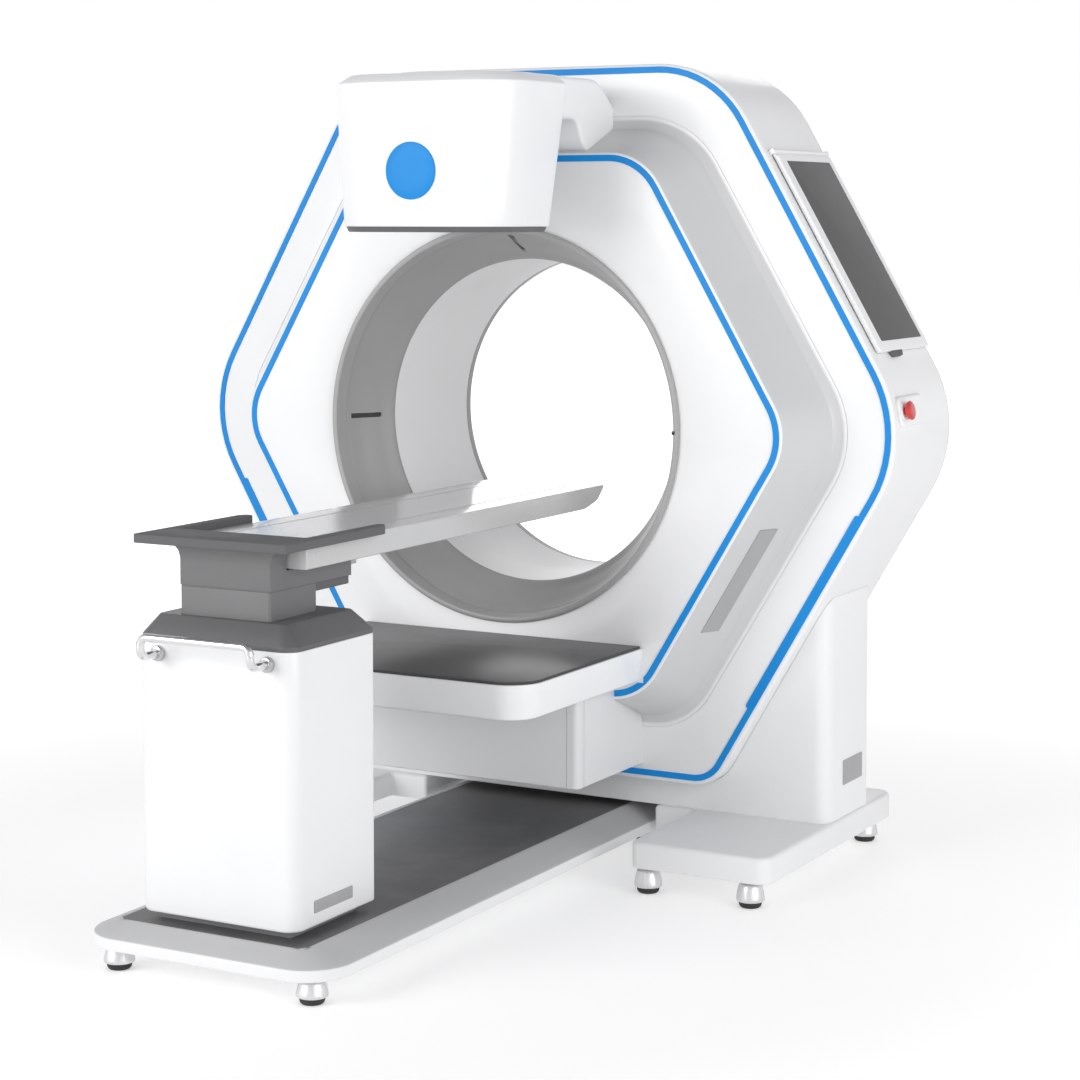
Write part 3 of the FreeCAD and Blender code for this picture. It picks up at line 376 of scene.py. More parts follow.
CARRIER_GREY = painted("carrier_satin_graphite", (0.150, 0.150, 0.154), (0.140, 0.140, 0.144), 0.60,
                       gloss=0.02)
INSET_GREY = painted("base_mat_graphite", (0.104, 0.104, 0.107), (0.099, 0.099, 0.102), 0.40,
                     grain=500.0, depth=0.00006)
# painted shade: the support box under the tray gets a darker white that stands in for the tray's shadow
SHADED_BOX_WHITE = painted("support_box_white", (0.735, 0.74, 0.745), (0.715, 0.72, 0.725), 0.40,
                    coat=0.1, dust=0.05)
GRILLE_GREY = painted("grille_grey", (0.40, 0.40, 0.405), (0.37, 0.37, 0.375), 0.45)
RUBBER = painted("black_rubber", 0.018, 0.03, 0.62, grain=700.0, depth=0.0001)
PRIMER = painted("frame_primer", (0.25, 0.26, 0.27), (0.20, 0.21, 0.22), 0.5, grain=500.0, depth=0.0001)
DETECTOR_BLACK = painted("detector_housing", (0.04, 0.04, 0.045), (0.055, 0.055, 0.06), 0.45)
RED = painted("red_cap", (0.62, 0.035, 0.035), (0.55, 0.03, 0.03), 0.28, coat=0.4)
STEEL = brushed("machined_steel", (0.60, 0.60, 0.61), (0.48, 0.48, 0.49), 0.30, (900.0, 14.0, 900.0))
CHROME = brushed("polished_bar", (0.86, 0.86, 0.87), (0.78, 0.78, 0.79), 0.12, (20.0, 700.0, 700.0))
FOOT_METAL = brushed("foot_casting", (0.82, 0.82, 0.83), (0.72, 0.72, 0.73), 0.38, (300.0, 300.0, 40.0))
CASTING = brushed("cast_aluminium", (0.56, 0.56, 0.57), (0.46, 0.46, 0.47), 0.42, (160.0, 160.0, 160.0))
BLUE = light_strip()
TABLE_SHEET = table_sheet()
TRAY_GLASS = dark_glass("detector_top_gloss", (0.085, 0.085, 0.087), (0.079, 0.079, 0.081), 0.24, 0.05)
SCREEN_GLASS = dark_glass("display_glass", (0.098, 0.098, 0.100), (0.093, 0.093, 0.095), 0.34, 0.25)


# ---- mesh helpers
def inset_corners(corners, distance):
    moved = []
    count = len(corners)
    for i in range(count):
        before, here, after = (Vector(corners[(i + k) % count]) for k in (-1, 0, 1))
        a = (here - before).normalized()
        b = (after - here).normalized()
        na, nb = Vector((-a.y, a.x)), Vector((-b.y, b.x))
        moved.append(here + (na + nb) * (distance / (1.0 + na.dot(nb))))
    return moved


def outline(corners, radii, inset=0.0, arc=8, side=0):
    # a closed line of points round corners given anticlockwise, moved in by inset
    points = inset_corners(corners, inset)
    count = len(points)
    arcs = []
    for i in range(count):
        before, here, after = (points[(i + k) % count] for k in (-1, 0, 1))
        a = (before - here).normalized()
        b = (after - here).normalized()
        convex = a.x * b.y - a.y * b.x < 0
        radius = max(radii[i] - inset if convex else radii[i] + inset, 0.25)
        half = a.angle(b) / 2.0
        run = radius / math.tan(half)
        middle = here + (a + b).normalized() * (radius / math.sin(half))
        first, last = here + a * run - middle, here + b * run - middle
        turn = first.angle_signed(last)
        ring = []
        for k in range(arc + 1):
            t = -turn * k / arc
            c, s = math.cos(t), math.sin(t)
            ring.append(middle + Vector((first.x * c - first.y * s, first.x * s + first.y * c)))
        arcs.append(ring)
    line = []
    for i in range(count):
        line += arcs[i]
        start, stop = arcs[i][-1], arcs[(i + 1) % count][0]
        line += [start.lerp(stop, (k + 1) / (side + 1)) for k in range(side)]
    return line


def hexagon(shape, inset=0.0, arc=10, side=9):
    w, top, bottom, (at_side, at_top, at_bottom) = shape
    corners = [(w, 0), (w / 2, top), (-w / 2, top), (-w, 0), (-w / 2, -bottom), (w / 2, -bottom)]
    radii = (at_side, at_top, at_top, at_side, at_bottom, at_bottom)
    return outline(corners, radii, inset, arc, side)


def at_height(line, z):
    return [(p.x, p.y, z) for p in line]


def circle(radius, count):
    return [(radius * math.cos(2 * math.pi * k / count), radius * math.sin(2 * math.pi * k / count))
            for k in range(count)]


def between(first, second, share):
    return [p.lerp(q, share) for p, q in zip(first, second)]


def upright(line, y):
    return [(p.x, y, HEX_Z + p.y) for p in line]


def cover_row(shape, inset, y):
    return upright(hexagon(shape, inset), y)


def round_hole(line, radius, y):
    ring = []
    for p in line:
        turn = math.atan2(p.y + HEX_Z - BORE_Z, p.x)
        ring.append((radius * math.cos(turn), y, BORE_Z + radius * math.sin(turn)))
    return ring


def rectangle(x0, x1, y0, y1):
    return [(x0, y0), (x1, y0), (x1, y1), (x0, y1)]


def skin(rows, ends="cap"):
    # verts and faces through rows of equal length; ends are capped, or the last row joins the first
    count = len(rows[0])
    verts = [p for row in rows for p in row]
    faces = []
    for r in range(len(rows) if ends == "loop" else len(rows) - 1):
        low, high = r * count, ((r + 1) % len(rows)) * count
        for k in range(count):
            n = (k + 1) % count
            faces.append((low + k, low + n, high + n, high + k))
    if ends == "cap":
        faces.append(tuple(range(count - 1, -1, -1)))
        top = (len(rows) - 1) * count
        faces.append(tuple(range(top, top + count)))
    return verts, faces


def quarter(steps):
    # (sine, cosine) pairs from nought to a right angle
    angles = [math.pi / 2 * k / steps for k in range(steps + 1)]
    return [(math.sin(t), math.cos(t)) for t in angles]


def edge_rows(low, high, round_low, round_high, steps=4):
    # (inset, level) pairs of a slab whose two rims are rounded
    return ([(round_low * (1 - s), low + round_low * (1 - c)) for s, c in quarter(steps)]
            + [(round_high * (1 - c), high - round_high * (1 - s)) for s, c in quarter(steps)])


def flat_up(p, level):
    return (p.x, p.y, level)


def along_y(p, level):
    return (p.x, level, p.y)


def along_x(p, level):
    return (level, p.x, p.y)


def slab(corners, radii, low, high, round_low, round_high, lift=flat_up, arc=8, steps=4):
    rows = [[lift(p, level) for p in outline(corners, radii, inset, arc)]
            for inset, level in edge_rows(low, high, round_low, round_high, steps)]
    return skin(rows)


def pad(x0, x1, y0, y1, corner, *levels, **more):
    # a slab with four equal corners
    return slab(rectangle(x0, x1, y0, y1), [corner] * 4, *levels, **more)


def turned(profile, segments=160, spot=None):
    # profile of (radius, along) points turned about the bore axis, or about a spot's upright axis
    if spot is None:
        return [[(a, along, BORE_Z + b) for a, b in circle(r, segments)] for r, along in profile]
    return [[(spot[0] + a, spot[1] + b, along) for a, b in circle(r, segments)] for r, along in profile]


def join(*parts):
    verts, faces = [], []
    for part_verts, part_faces in parts:
        base = len(verts)
        verts += part_verts
        faces += [tuple(base + i for i in face) for face in part_faces]
    return verts, faces


def mirrored(part):
    verts, faces = part
    return [(-x, y, z) for x, y, z in verts], [tuple(reversed(face)) for face in faces]


def in_frame(point):
    return Vector((point[0] * MM, (point[1] + ALONG_SHIFT) * MM, point[2] * MM))


def make_object(name, part, material=None):
    verts, faces = part
    mesh = bpy.data.meshes.new(name)
    mesh.from_pydata([in_frame(p) for p in verts], [], faces)
    tidy = bmesh.new()
    tidy.from_mesh(mesh)
    bmesh.ops.remove_doubles(tidy, verts=tidy.verts, dist=0.00001)
    bmesh.ops.recalc_face_normals(tidy, faces=tidy.faces)
    tidy.to_mesh(mesh)
    tidy.free()
    if material:
        mesh.materials.append(material)
    return into_scene(name, mesh)


def cut_away(thing, *parts):
    for number, part in enumerate(parts):
        cutter = make_object("cutter_%d" % number, part)
        knife = thing.modifiers.new("cut", "BOOLEAN")
        knife.operation = "DIFFERENCE"
        knife.solver = "EXACT"
        knife.object = cutter
        freeze(thing)
        bpy.data.objects.remove(cutter)


def freeze(thing):
    bpy.context.view_layer.update()
    graph = bpy.context.evaluated_depsgraph_get()
    solid = bpy.data.meshes.new_from_object(thing.evaluated_get(graph))
    thing.modifiers.clear()
    thing.data = solid


def finish_piece(thing, nodes, sharp=30.0, body="scanner"):
    thing.data.shade_smooth()
    thing.data.set_sharp_from_angle(angle=math.radians(sharp))
    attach(thing, body)
    if nodes:
        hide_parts(*nodes)
    return thing


def piece(name, part, material, nodes, sharp=30.0, body="scanner", cuts=()):
    thing = make_object(name, part, material)
    cut_away(thing, *cuts)
    return finish_piece(thing, nodes, sharp, body)


def box_part(x0, x1, y0, y1, z0, z1):
    return skin([[(x0, y0, z), (x1, y0, z), (x1, y1, z), (x0, y1, z)] for z in (z0, z1)])


# ---- ring covers
def front_cover_rows():
    rows = []
    ridge, panel = hexagon(RIDGE), hexagon(PANEL)
    rim, valley, nose = 7.0, 34.0, 6.0
    rows.append(upright(hexagon(COVER), 20.0))
    rows += [cover_row(COVER, rim * (1 - c), rim * (1 - s)) for s, c in quarter(5)]
    slope = math.atan2(-PANEL_Y, 62.0)
    run = valley * math.tan(slope / 2)
    for reach, y in ((-run - 3.0, 0.0), (-run - 2.8, 2.2), (-run - 0.6, 2.2), (-run - 0.4, 0.0)):
        rows.append(cover_row(RIDGE, reach, y))
    for k in range(11):
        t = slope * k / 10
        y = -valley * (1 - math.cos(t))
        reach = -run + valley * math.sin(t)
        share = min(max(y / PANEL_Y, 0.0), 1.0)
        line = hexagon(RIDGE, reach) if reach < 0 else between(ridge, panel, share)
        rows.append(upright(line, y))
    back = nose * math.tan(slope / 2)
    for k in range(6):
        t = slope * (1 - k / 5)
        rows.append(cover_row(PANEL, back - nose * math.sin(t), PANEL_Y + nose - nose * math.cos(t)))
    hole = ((446.0, 0.0), (442.0, 2.0), (442.0, 5.0))
    back_face = ((PANEL, 6.0, PANEL_Y + 5.0), (RIDGE, 6.0, 5.0), (COVER, 12.0, 5.0), (COVER, 5.0, 12.0),
                 (COVER, 5.0, 20.0))
    rows += [round_hole(panel, radius, PANEL_Y + depth) for radius, depth in hole]
    return rows + [cover_row(shape, inset, y) for shape, inset, y in back_face]


piece("ring_front_cover", skin(front_cover_rows(), "loop"), COVER_WHITE,
      ["gantry_front_cover"], sharp=40.0)

shroud_rows = [cover_row(COVER, inset, y) for inset, y in
               ((1.0, 21.0), (0.0, 22.0), (0.0, 60.0), (0.0, 200.0), (0.0, 334.0), (1.0, 335.0),
                (5.0, 335.0), (5.0, 200.0), (5.0, 60.0), (5.0, 21.0))]
shroud = make_object("ring_side_shroud", skin(shroud_rows, "loop"), WHITE)


def on_flank(local):
    # local is (outward, along the bore, up the flank) from the right corner of the cover
    n, y, s = local
    c, k = math.cos(FLANK_ANGLE), math.sin(FLANK_ANGLE)
    return (COVER[0] + n * c - s * k, y, HEX_Z + n * k + s * c)


STOP_ANGLE = math.radians(10.6)


def on_corner(local):
    n, y, s = local
    c, k = math.cos(STOP_ANGLE), math.sin(STOP_ANGLE)
    return (COVER[0] - COVER[3][0] / SIN60 + n * c - s * k, y, HEX_Z + n * k + s * c)


def moved(part, place):
    return [place(p) for p in part[0]], part[1]


finish_piece(shroud, ["gantry_side_shroud"])

# ---- repeated slats, screws and feet
def node_tree_3d(name, inputs):
    tree = bpy.data.node_groups.new(name, "GeometryNodeTree")
    for label, kind, value in (("Geometry", "Geometry", None), *inputs, ("Material", "Material", None)):
        socket = tree.interface.new_socket(label, in_out="INPUT", socket_type="NodeSocket" + kind)
        if value is not None:
            socket.default_value = value
    tree.interface.new_socket("Geometry", in_out="OUTPUT", socket_type="NodeSocketGeometry")
    return tree, tree.nodes.new("NodeGroupInput"), tree.nodes.new("NodeGroupOutput")


def end_tree(tree, given, out, last, output):
    realize = new_node(tree, "GeometryNodeRealizeInstances")
    paint = new_node(tree, "GeometryNodeSetMaterial")
    wire(tree, (last, output, realize, "Geometry"), (realize, "Geometry", paint, "Geometry"),
         (given, "Material", paint, "Material"), (paint, "Geometry", out, "Geometry"))
    return tree


def slat_bank_tree():
    # a row of oval louvre slats along local Z, each running along local Y
    tree, given, out = node_tree_3d("slat_bank", [
        ("Count", "Int", 6), ("Pitch", "Float", 0.017), ("Length", "Float", 0.044), ("Depth", "Float", 0.004),
        ("Thickness", "Float", 0.002), ("Lean", "Float", 0.5)])
    step, start, stop, lean, size = [new_node(tree, "ShaderNodeCombineXYZ") for k in range(5)]
    spots = new_node(tree, "GeometryNodeMeshLine")
    run = new_node(tree, "GeometryNodeCurvePrimitiveLine")
    half = math_node(tree, "MULTIPLY", given.outputs["Length"], 0.5)
    back = math_node(tree, "MULTIPLY", given.outputs["Length"], -0.5)
    oval = new_node(tree, "GeometryNodeCurvePrimitiveCircle", Resolution=12, Radius=0.5)
    shaped = new_node(tree, "GeometryNodeTransform")
    set_inputs(size, Z=1.0)
    sweep = new_node(tree, "GeometryNodeCurveToMesh", Fill_Caps=True)
    copies = new_node(tree, "GeometryNodeInstanceOnPoints")
    wire(tree, (given, "Pitch", step, "Z"), (given, "Count", spots, "Count"),
         (step, "Vector", spots, "Offset"), (back, start, "Y"), (half, stop, "Y"),
         (start, "Vector", run, "Start"), (stop, "Vector", run, "End"),
         (given, "Depth", size, "X"), (given, "Thickness", size, "Y"), (oval, "Curve", shaped, "Geometry"),
         (size, "Vector", shaped, "Scale"), (run, "Curve", sweep, "Curve"),
         (shaped, "Geometry", sweep, "Profile Curve"), (given, "Lean", lean, "Y"),
         (lean, "Vector", copies, "Rotation"), (spots, "Mesh", copies, "Points"),
         (sweep, "Mesh", copies, "Instance"))
    return end_tree(tree, given, out, copies, "Instances")


def spots_tree():
    # a copy of one small shape on every point of the piece's own mesh
    tree, given, out = node_tree_3d("copies_on_spots", [("Shape", "Object", None), ("Scale", "Float", 1.0)])
    info, copies = new_node(tree, "GeometryNodeObjectInfo"), new_node(tree, "GeometryNodeInstanceOnPoints")
    wire(tree, (given, "Shape", info, "Object"), (given, "Geometry", copies, "Points"),
         (info, "Geometry", copies, "Instance"), (given, "Scale", copies, "Scale"))
    return end_tree(tree, given, out, copies, "Instances")


def bar_tree():
    # a round bar bent with one radius along the piece's own line of edges
    tree, given, out = node_tree_3d(
        "bent_bar", [("Bar Radius", "Float", 0.008), ("Bend Radius", "Float", 0.02)])
    line, bend = new_node(tree, "GeometryNodeMeshToCurve"), new_node(tree, "GeometryNodeFilletCurve")
    if hasattr(bend, "mode"):
        bend.mode = "POLY"
    set_inputs(bend, Count=10)
    ring = new_node(tree, "GeometryNodeCurvePrimitiveCircle", Resolution=28)
    sweep = new_node(tree, "GeometryNodeCurveToMesh", Fill_Caps=True)
    wire(tree, (given, "Geometry", line, "Mesh"), (line, "Curve", bend, "Curve"),
         (given, "Bend Radius", bend, "Radius"), (given, "Bar Radius", ring, "Radius"),
         (bend, "Curve", sweep, "Curve"), (ring, "Curve", sweep, "Profile Curve"))
    return end_tree(tree, given, out, sweep, "Mesh")


SLAT_BANK, SPOTS, BENT_BAR = slat_bank_tree(), spots_tree(), bar_tree()


def grow(thing, tree, material, **values):
    # runs one of the trees on the object and keeps the result as a plain mesh
    modifier = thing.modifiers.new("grow", "NODES")
    modifier.node_group = tree
    for item in tree.interface.items_tree:
        if item.item_type != "SOCKET" or item.in_out != "INPUT":
            continue
        key = item.name.replace(" ", "_")
        if key in values:
            modifier[item.identifier] = values[key]
        elif item.name == "Material":
            modifier[item.identifier] = material
    freeze(thing)
    return thing


def empty_object(name, points=(), edges=()):
    mesh = bpy.data.meshes.new(name)
    mesh.from_pydata([in_frame(p) for p in points], edges, [])
    return into_scene(name, mesh)


def slats(name, count, pitch, length, depth, thickness, lean, place, material=GRILLE_GREY):
    # place maps a local (outward, across, up) point in millimetres to the machine
    bank = grow(empty_object(name), SLAT_BANK, material, Count=count, Pitch=pitch * MM, Length=length * MM,
                Depth=depth * MM, Thickness=thickness * MM, Lean=lean)
    for vertex in bank.data.vertices:
        vertex.co = in_frame(place(tuple(c / MM for c in vertex.co)))
    return bank


def merge_objects(first, *others):
    whole = bmesh.new()
    for thing in (first, *others):
        whole.from_mesh(thing.data)
    bmesh.ops.recalc_face_normals(whole, faces=whole.faces)
    whole.to_mesh(first.data)
    whole.free()
    for other in others:
        bpy.data.objects.remove(other)
    return first


# ---- rear of the ring
rear_line = hexagon(COVER)
rear_rows = [upright(rear_line, 336.0), upright(rear_line, 338.0)]
rear_rows += [cover_row(COVER, 8.0 * (1 - c), 338.0 + 8.0 * s) for s, c in quarter(5)]
rear_rows += [round_hole(rear_line, 402.0, 346.0), round_hole(rear_line, 402.0, 336.0)]
rear_cover = make_object("ring_rear_cover", skin(rear_rows, "loop"), WHITE)
for side in (-1, 1):
    cut_away(rear_cover, pad(side * 300 - 97, side * 300 + 97, 1314.0, 1526.0, 10.0, 330.0, 350.0, 0.3, 0.3,
                             along_y))
cut_away(rear_cover, *[box_part(-1.0, 1.0, 344.0, 348.0, z0, z1)
                       for z0, z1 in ((BORE_Z + 395.0, HEX_Z + 820.0), (HEX_Z - 820.0, BORE_Z - 395.0))])
finish_piece(rear_cover, ["gantry_rear_cover"])
screw_profile = ((7.0, -1.0), (7.0, 0.8), (5.6, 1.4), (2.8, 1.4), (2.6, 0.2), (0.4, 0.2))
screw_head = make_object("screw_head", skin(
    [[(a, y - ALONG_SHIFT, b) for a, b in circle(r, 12)] for r, y in screw_profile]), STEEL)
screw_spots = [(p.x, 346.0, HEX_Z + p.y) for p in hexagon(COVER, 34.0, arc=2, side=2)]
rear_screws = grow(empty_object("rear_cover_screws", screw_spots), SPOTS, STEEL, Shape=screw_head, Scale=1.0)
bpy.data.objects.remove(screw_head)
finish_piece(rear_screws, [], 40.0)
rear_slats = [slats("rear_slats_%d" % side, 9, 23.0, 194.0, 16.0, 2.4, -0.9,
                    lambda p, side=side: (side * 300 + p[1], 341.0 - p[0] * 0.55, 1328.0 + p[2]))
              for side in (-1, 1)]
finish_piece(merge_objects(*rear_slats), [])
rear_slats[0].name = "rear_vent_slats"


# ---- light lines
LINE_HALF = 7.0


def line_rows(shape, half, low, high):
    return [cover_row(shape, inset, y) for inset, y in
            ((-half, low), (-half, high + 0.5), (-half + 0.5, high), (half - 0.5, high), (half, high + 0.5),
             (half, low))]


corner_a, corner_b = Vector((OUTER_LINE[0], 0.0)), Vector((OUTER_LINE[0] / 2, -OUTER_LINE[2]))
down = (corner_b - corner_a).normalized()
inward = Vector((down.y, -down.x))


def lower_flank_segment():
    corners = [corner_a + down * s + inward * m for s, m in
               ((208.0, 14.0), (714.0, 14.0), (722.0, 6.0), (200.0, 6.0))]
    shape = [(p.x, HEX_Z + p.y) for p in corners]
    return slab(shape, [0.5, 0.5, 3.0, 3.0], -2.0, 0.5, 0.4, 0.4, along_y, arc=4)


segment = lower_flank_segment()
outer_rows = line_rows(OUTER_LINE, LINE_HALF, 0.5, -2.0)
piece("outer_light_line", join(skin(outer_rows, "loop"), segment, mirrored(segment)), BLUE,
      ["outer_light_strip"])
inner_rows = line_rows(INNER_LINE, LINE_HALF, PANEL_Y + 0.5, PANEL_Y - 2.0)
piece("inner_light_line", skin(inner_rows, "loop"), BLUE, ["inner_light_strip"],
      cuts=(box_part(-292, 292, -200, 20, 218.0, HEX_Z - 500),
            box_part(-364, 364, -200, PANEL_Y + 1, 434.0, 519.0)))

# ---- bore
def bore_ring(name, profile, material, nodes, segments=192, cuts=()):
    piece(name, skin(turned(profile, segments), "loop"), material, nodes, cuts=cuts)


def spun(part, angle):
    # turned about the bore axis by an angle in degrees
    c, s = math.cos(math.radians(angle)), math.sin(math.radians(angle))
    return [(x * c - z * s, y, BORE_Z + x * s + z * c) for x, y, z in part[0]], part[1]


def from_panel(profile):
    return [(radius, PANEL_Y + along) for radius, along in profile]


bore_ring("bore_flange", from_panel(
    [(447.0, 0.4), (450.0, 0.0), (450.0, -5.0), (448.5, -8.0), (446.0, -9.0), (440.5, -9.0), (437.5, -7.5),
     (436.0, -4.0), (432.0, 25.5), (441.0, 22.0), (441.0, 0.4)]), FLANGE_GREY,
    ["bore_flange_ring"], 160)
SPOKE_ANGLES = (0.0, 90.0, 180.0)
funnel = from_panel([(435.0, 27.0), (431.0, 33.0), (427.0, 42.0), (424.0, 52.0)])
funnel += [(411.0, -70.0), (394.5, -37.0), (390.0, -29.0), (384.0, -20.0), (378.0, -11.0), (374.0, -5.0),
           (372.0, 0.0), (377.0, 1.0), (384.0, -8.0), (400.0, -34.0)]
funnel += from_panel([(432.0, 52.0), (440.0, 28.0)])
spoke = pad(PANEL_Y + 41.0, -27.0, -5.5, 5.5, 5.0, 376.0, 452.0, 0.3, 0.3, along_x)
bore_ring("bore_window_ring_shell", funnel, WINDOW_GREY, ["bore_window_ring"],
          cuts=[spun(spoke, angle) for angle in SPOKE_ANGLES])

# slim lenses that lie just under the ring's face, and a small one on the flange's right lip
lens = skin([[(r + dr, y, h) for dr, h in ((2.0, -5.6), (2.0, 5.6), (7.0, 5.6), (7.0, -5.6))]
             for y, r in ((PANEL_Y + 40.0, 425.5), (-73.0, 412.0), (-26.0, 391.0))])
lip_lens = pad(434.5, 441.8, BORE_Z - 4.6, BORE_Z + 4.6, 2.5, -153.0, -147.0, 0.6, 0.3, along_y)
piece("laser_lenses", join(*[spun(lens, angle) for angle in SPOKE_ANGLES], lip_lens), LASER_BLACK,
      ["laser_windows"])
bore_ring("bore_tunnel", [(372.0, y) for y in (2.5, 60.0, 170.0, 280.0, 336.5)] +
          [(376.0, y) for y in (336.5, 170.0, 2.5)], LINER, ["tunnel_liner"])
bore_ring("bore_rear_trim",
          [(372.0, 338.0), (372.0, 355.0), (373.5, 358.5), (377.0, 360.0), (401.0, 360.0), (412.0, 358.6),
           (415.2, 355.6), (416.0, 350.0), (416.0, 347.0)], FLANGE_GREY, ["bore_rear_ring"])

# ---- stand
hex_block = skin([cover_row(COVER, -0.6, y) for y in (20.0, 360.0)])
skirt_part = slab(rectangle(-725, 725, 44, 285), [34, 34, 12, 12], 118.0, 660.0, 1.0, 0.3, arc=10)
piece("stand_skirt_shell", skirt_part, WHITE, ["stand_skirt"], cuts=(hex_block,))

plate_corners = [(-730, -292), (-404, -292), (-404, 30), (-306, 30), (-306, 250), (306, 250), (306, 30),
                 (404, 30), (404, -292), (730, -292), (730, 440), (-730, 440)]
piece("stand_plate", slab(plate_corners, [34, 22, 8, 8, 8, 8, 8, 8, 22, 34, 38, 38], 60.0, 118.0, 3.0, 9.0),
      POWDER, ["stand_base_plate"])

cup_profile = [(9.0, 62.0), (13.0, 61.0), (13.0, 52.5), (21.5, 52.0), (24.0, 50.0), (25.5, 46.0),
               (28.5, 34.0), (30.5, 22.0), (30.8, 17.0), (29.5, 14.4), (22.0, 14.0)]
pad_profile = [(23.0, 14.4), (24.5, 13.4), (24.8, 9.0), (23.4, 4.0), (20.5, 0.8), (18.0, 0.0)]
STAND_FEET = [(sx * fx, fy) for sx in (-1, 1) for fx in (430.0, 672.0) for fy in (-250.0, 402.0)]
COUCH_FEET = [(sx * 226.0, fy) for sx in (-1, 1) for fy in (-1243.0, 150.0)]


PAD_TOP, STAND_PLATE_Z, COUCH_PLATE_Z = 14.5, 60.0, 52.0


def feet(name, profile, material, node):
    # one turned foot, repeated by the tree on every spot; the couch feet stand under a lower plate
    foot = make_object(name + "_one", skin(turned(profile, 40, (0.0, -ALONG_SHIFT))))
    foot.data.shade_smooth()
    foot.data.set_sharp_from_angle(angle=math.radians(40.0))
    stand, couch = (grow(empty_object(label, [(x, y, 0.0) for x, y in spots]), SPOTS, material,
                         Shape=foot, Scale=1.0)
                    for label, spots in ((name, STAND_FEET), (name + "_couch", COUCH_FEET)))
    for vertex in couch.data.vertices:
        height = vertex.co.z / MM
        if height > PAD_TOP:
            height = PAD_TOP + (height - PAD_TOP) * (COUCH_PLATE_Z - PAD_TOP) / (STAND_PLATE_Z - PAD_TOP)
            vertex.co.z = height * MM
    bpy.data.objects.remove(foot)
    finish_piece(merge_objects(stand, couch), [node], 40.0)


feet("foot_cups", cup_profile, FOOT_METAL, "levelling_feet")
feet("foot_rubbers", pad_profile, RUBBER, "foot_pads")

# ---- grilles
stand_frames = []
for side in (-1, 1):
    frame_part = pad(132.0, 245.0, 190.0, 246.0, 3.0, 725.0, 726.6, 0.2, 0.8, along_x)
    if side < 0:
        frame_part = mirrored(frame_part)
    stand_frames.append(make_object("stand_grille_%d" % side, frame_part, GRILLE_GREY))
    stand_frames.append(slats("stand_slats_%d" % side, 8, 6.2, 104.0, 3.2, 2.2, 0.5,
                              lambda p, side=side: (side * (726.4 + p[0] * 0.5), 188.5 + p[1], 196.5 + p[2])))
column_frame = make_object("column_grille", pad(-1172.0, -1040.0, 146.0, 170.0, 2.5, 183.0, 184.6, 0.2, 0.8,
                                                along_x), GRILLE_GREY)
column_slats = slats("column_slats", 14, 9.2, 18.0, 2.6, 2.6, 0.0,
                     lambda p: (184.4 + p[0] * 0.5, -1165.8 + p[2], 158.0 + p[1]))
grilles = merge_objects(stand_frames[0], *stand_frames[1:], column_frame, column_slats)
grilles.name = "side_grilles"
finish_piece(grilles, ["vent_grilles"])

vent_pad = into_scene("slope_vent_pad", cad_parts["slope_vent"].data.copy())
vent_pad.data.materials.clear()
vent_pad.data.materials.append(GRILLE_GREY)
finish_piece(vent_pad, ["slope_vent"], 30.0)


# ---- x-ray head
def head_line(half, front, rear, front_radius, rear_radius, inset=0.0):
    radii = [front_radius, front_radius, rear_radius, rear_radius]
    return outline(rectangle(-half, half, front, rear), radii, inset, 14)


HEAD_LOW = (213.0, -520.0, -292.0, 96.0, 16.0)
HEAD_HIGH = (238.0, -524.0, -256.0, 112.0, 18.0)
HEAD_CAP = (214.0, -500.0, -256.0, 96.0, 18.0)


HEAD_Z, HEAD_RISE = 1440.0, 305.0


def head_rows():
    low, high, cap = head_line(*HEAD_LOW), head_line(*HEAD_HIGH), head_line(*HEAD_CAP)
    rows = [at_height(head_line(*HEAD_LOW, inset=inset), HEAD_Z + up)
            for inset, up in ((4.0, 0.0), (1.5, 0.0), (0.4, 1.5))]
    for share in [0.01 + 0.98 * k / 8 for k in range(9)]:
        rows.append(at_height(between(low, high, share), HEAD_Z + HEAD_RISE * share))
    for share, z in ((0.0, 1744.0), (0.02, 1745.6), (0.06, 1746.8), (0.5, 1755.0), (0.94, 1763.2),
                     (1.0, 1764.0)):
        rows.append(at_height(between(high, cap, share), z))
    return rows + [at_height(head_line(*HEAD_CAP, inset=inset), z)
                   for inset, z in ((3.0, 1764.7), (9.0, 1765.0))]


piece("xray_head_shell", skin(head_rows()), WHITE, ["head_shell"], 50.0)
arm_corners = [(-262, 1672), (-172, 1672), (-150, 1625), (-122, 1600), (3, 1600), (3, 1704), (-74, 1764.6),
               (-262, 1764.6)]
piece("xray_head_arm", slab(arm_corners, [0.3, 34, 60, 10, 0.3, 0.3, 110, 0.3], -214.0, 214.0, 9.0, 9.0,
                            along_x, arc=12, steps=5), WHITE, ["head_arm_cover"])
plate_rows = ((201.0, -508.0, -303.0, 84.0, 10.0, 1428.0), (204.5, -511.5, -300.5, 87.5, 11.5, 1428.9),
              (205.5, -512.5, -300.0, 88.0, 12.0, 1430.5), (209.0, -516.0, -296.0, 92.0, 12.0, 1439.6))
piece("xray_head_plate", skin([at_height(head_line(*row), z) for *row, z in plate_rows]), COLLAR_GREY,
      ["head_bottom_plate"],
      cuts=(pad(-62, 62, -462, -338, 8.0, 1422.0, 1431.0, 0.3, 0.3),))
piece("xray_head_window", pad(-61.5, 61.5, -461.5, -338.5, 7.5, 1430.2, 1432.0, 0.5, 0.2),
      DETECTOR_BLACK, [])


def head_front_y(z):
    return -520.0 - 4.0 * (z - HEAD_Z) / HEAD_RISE


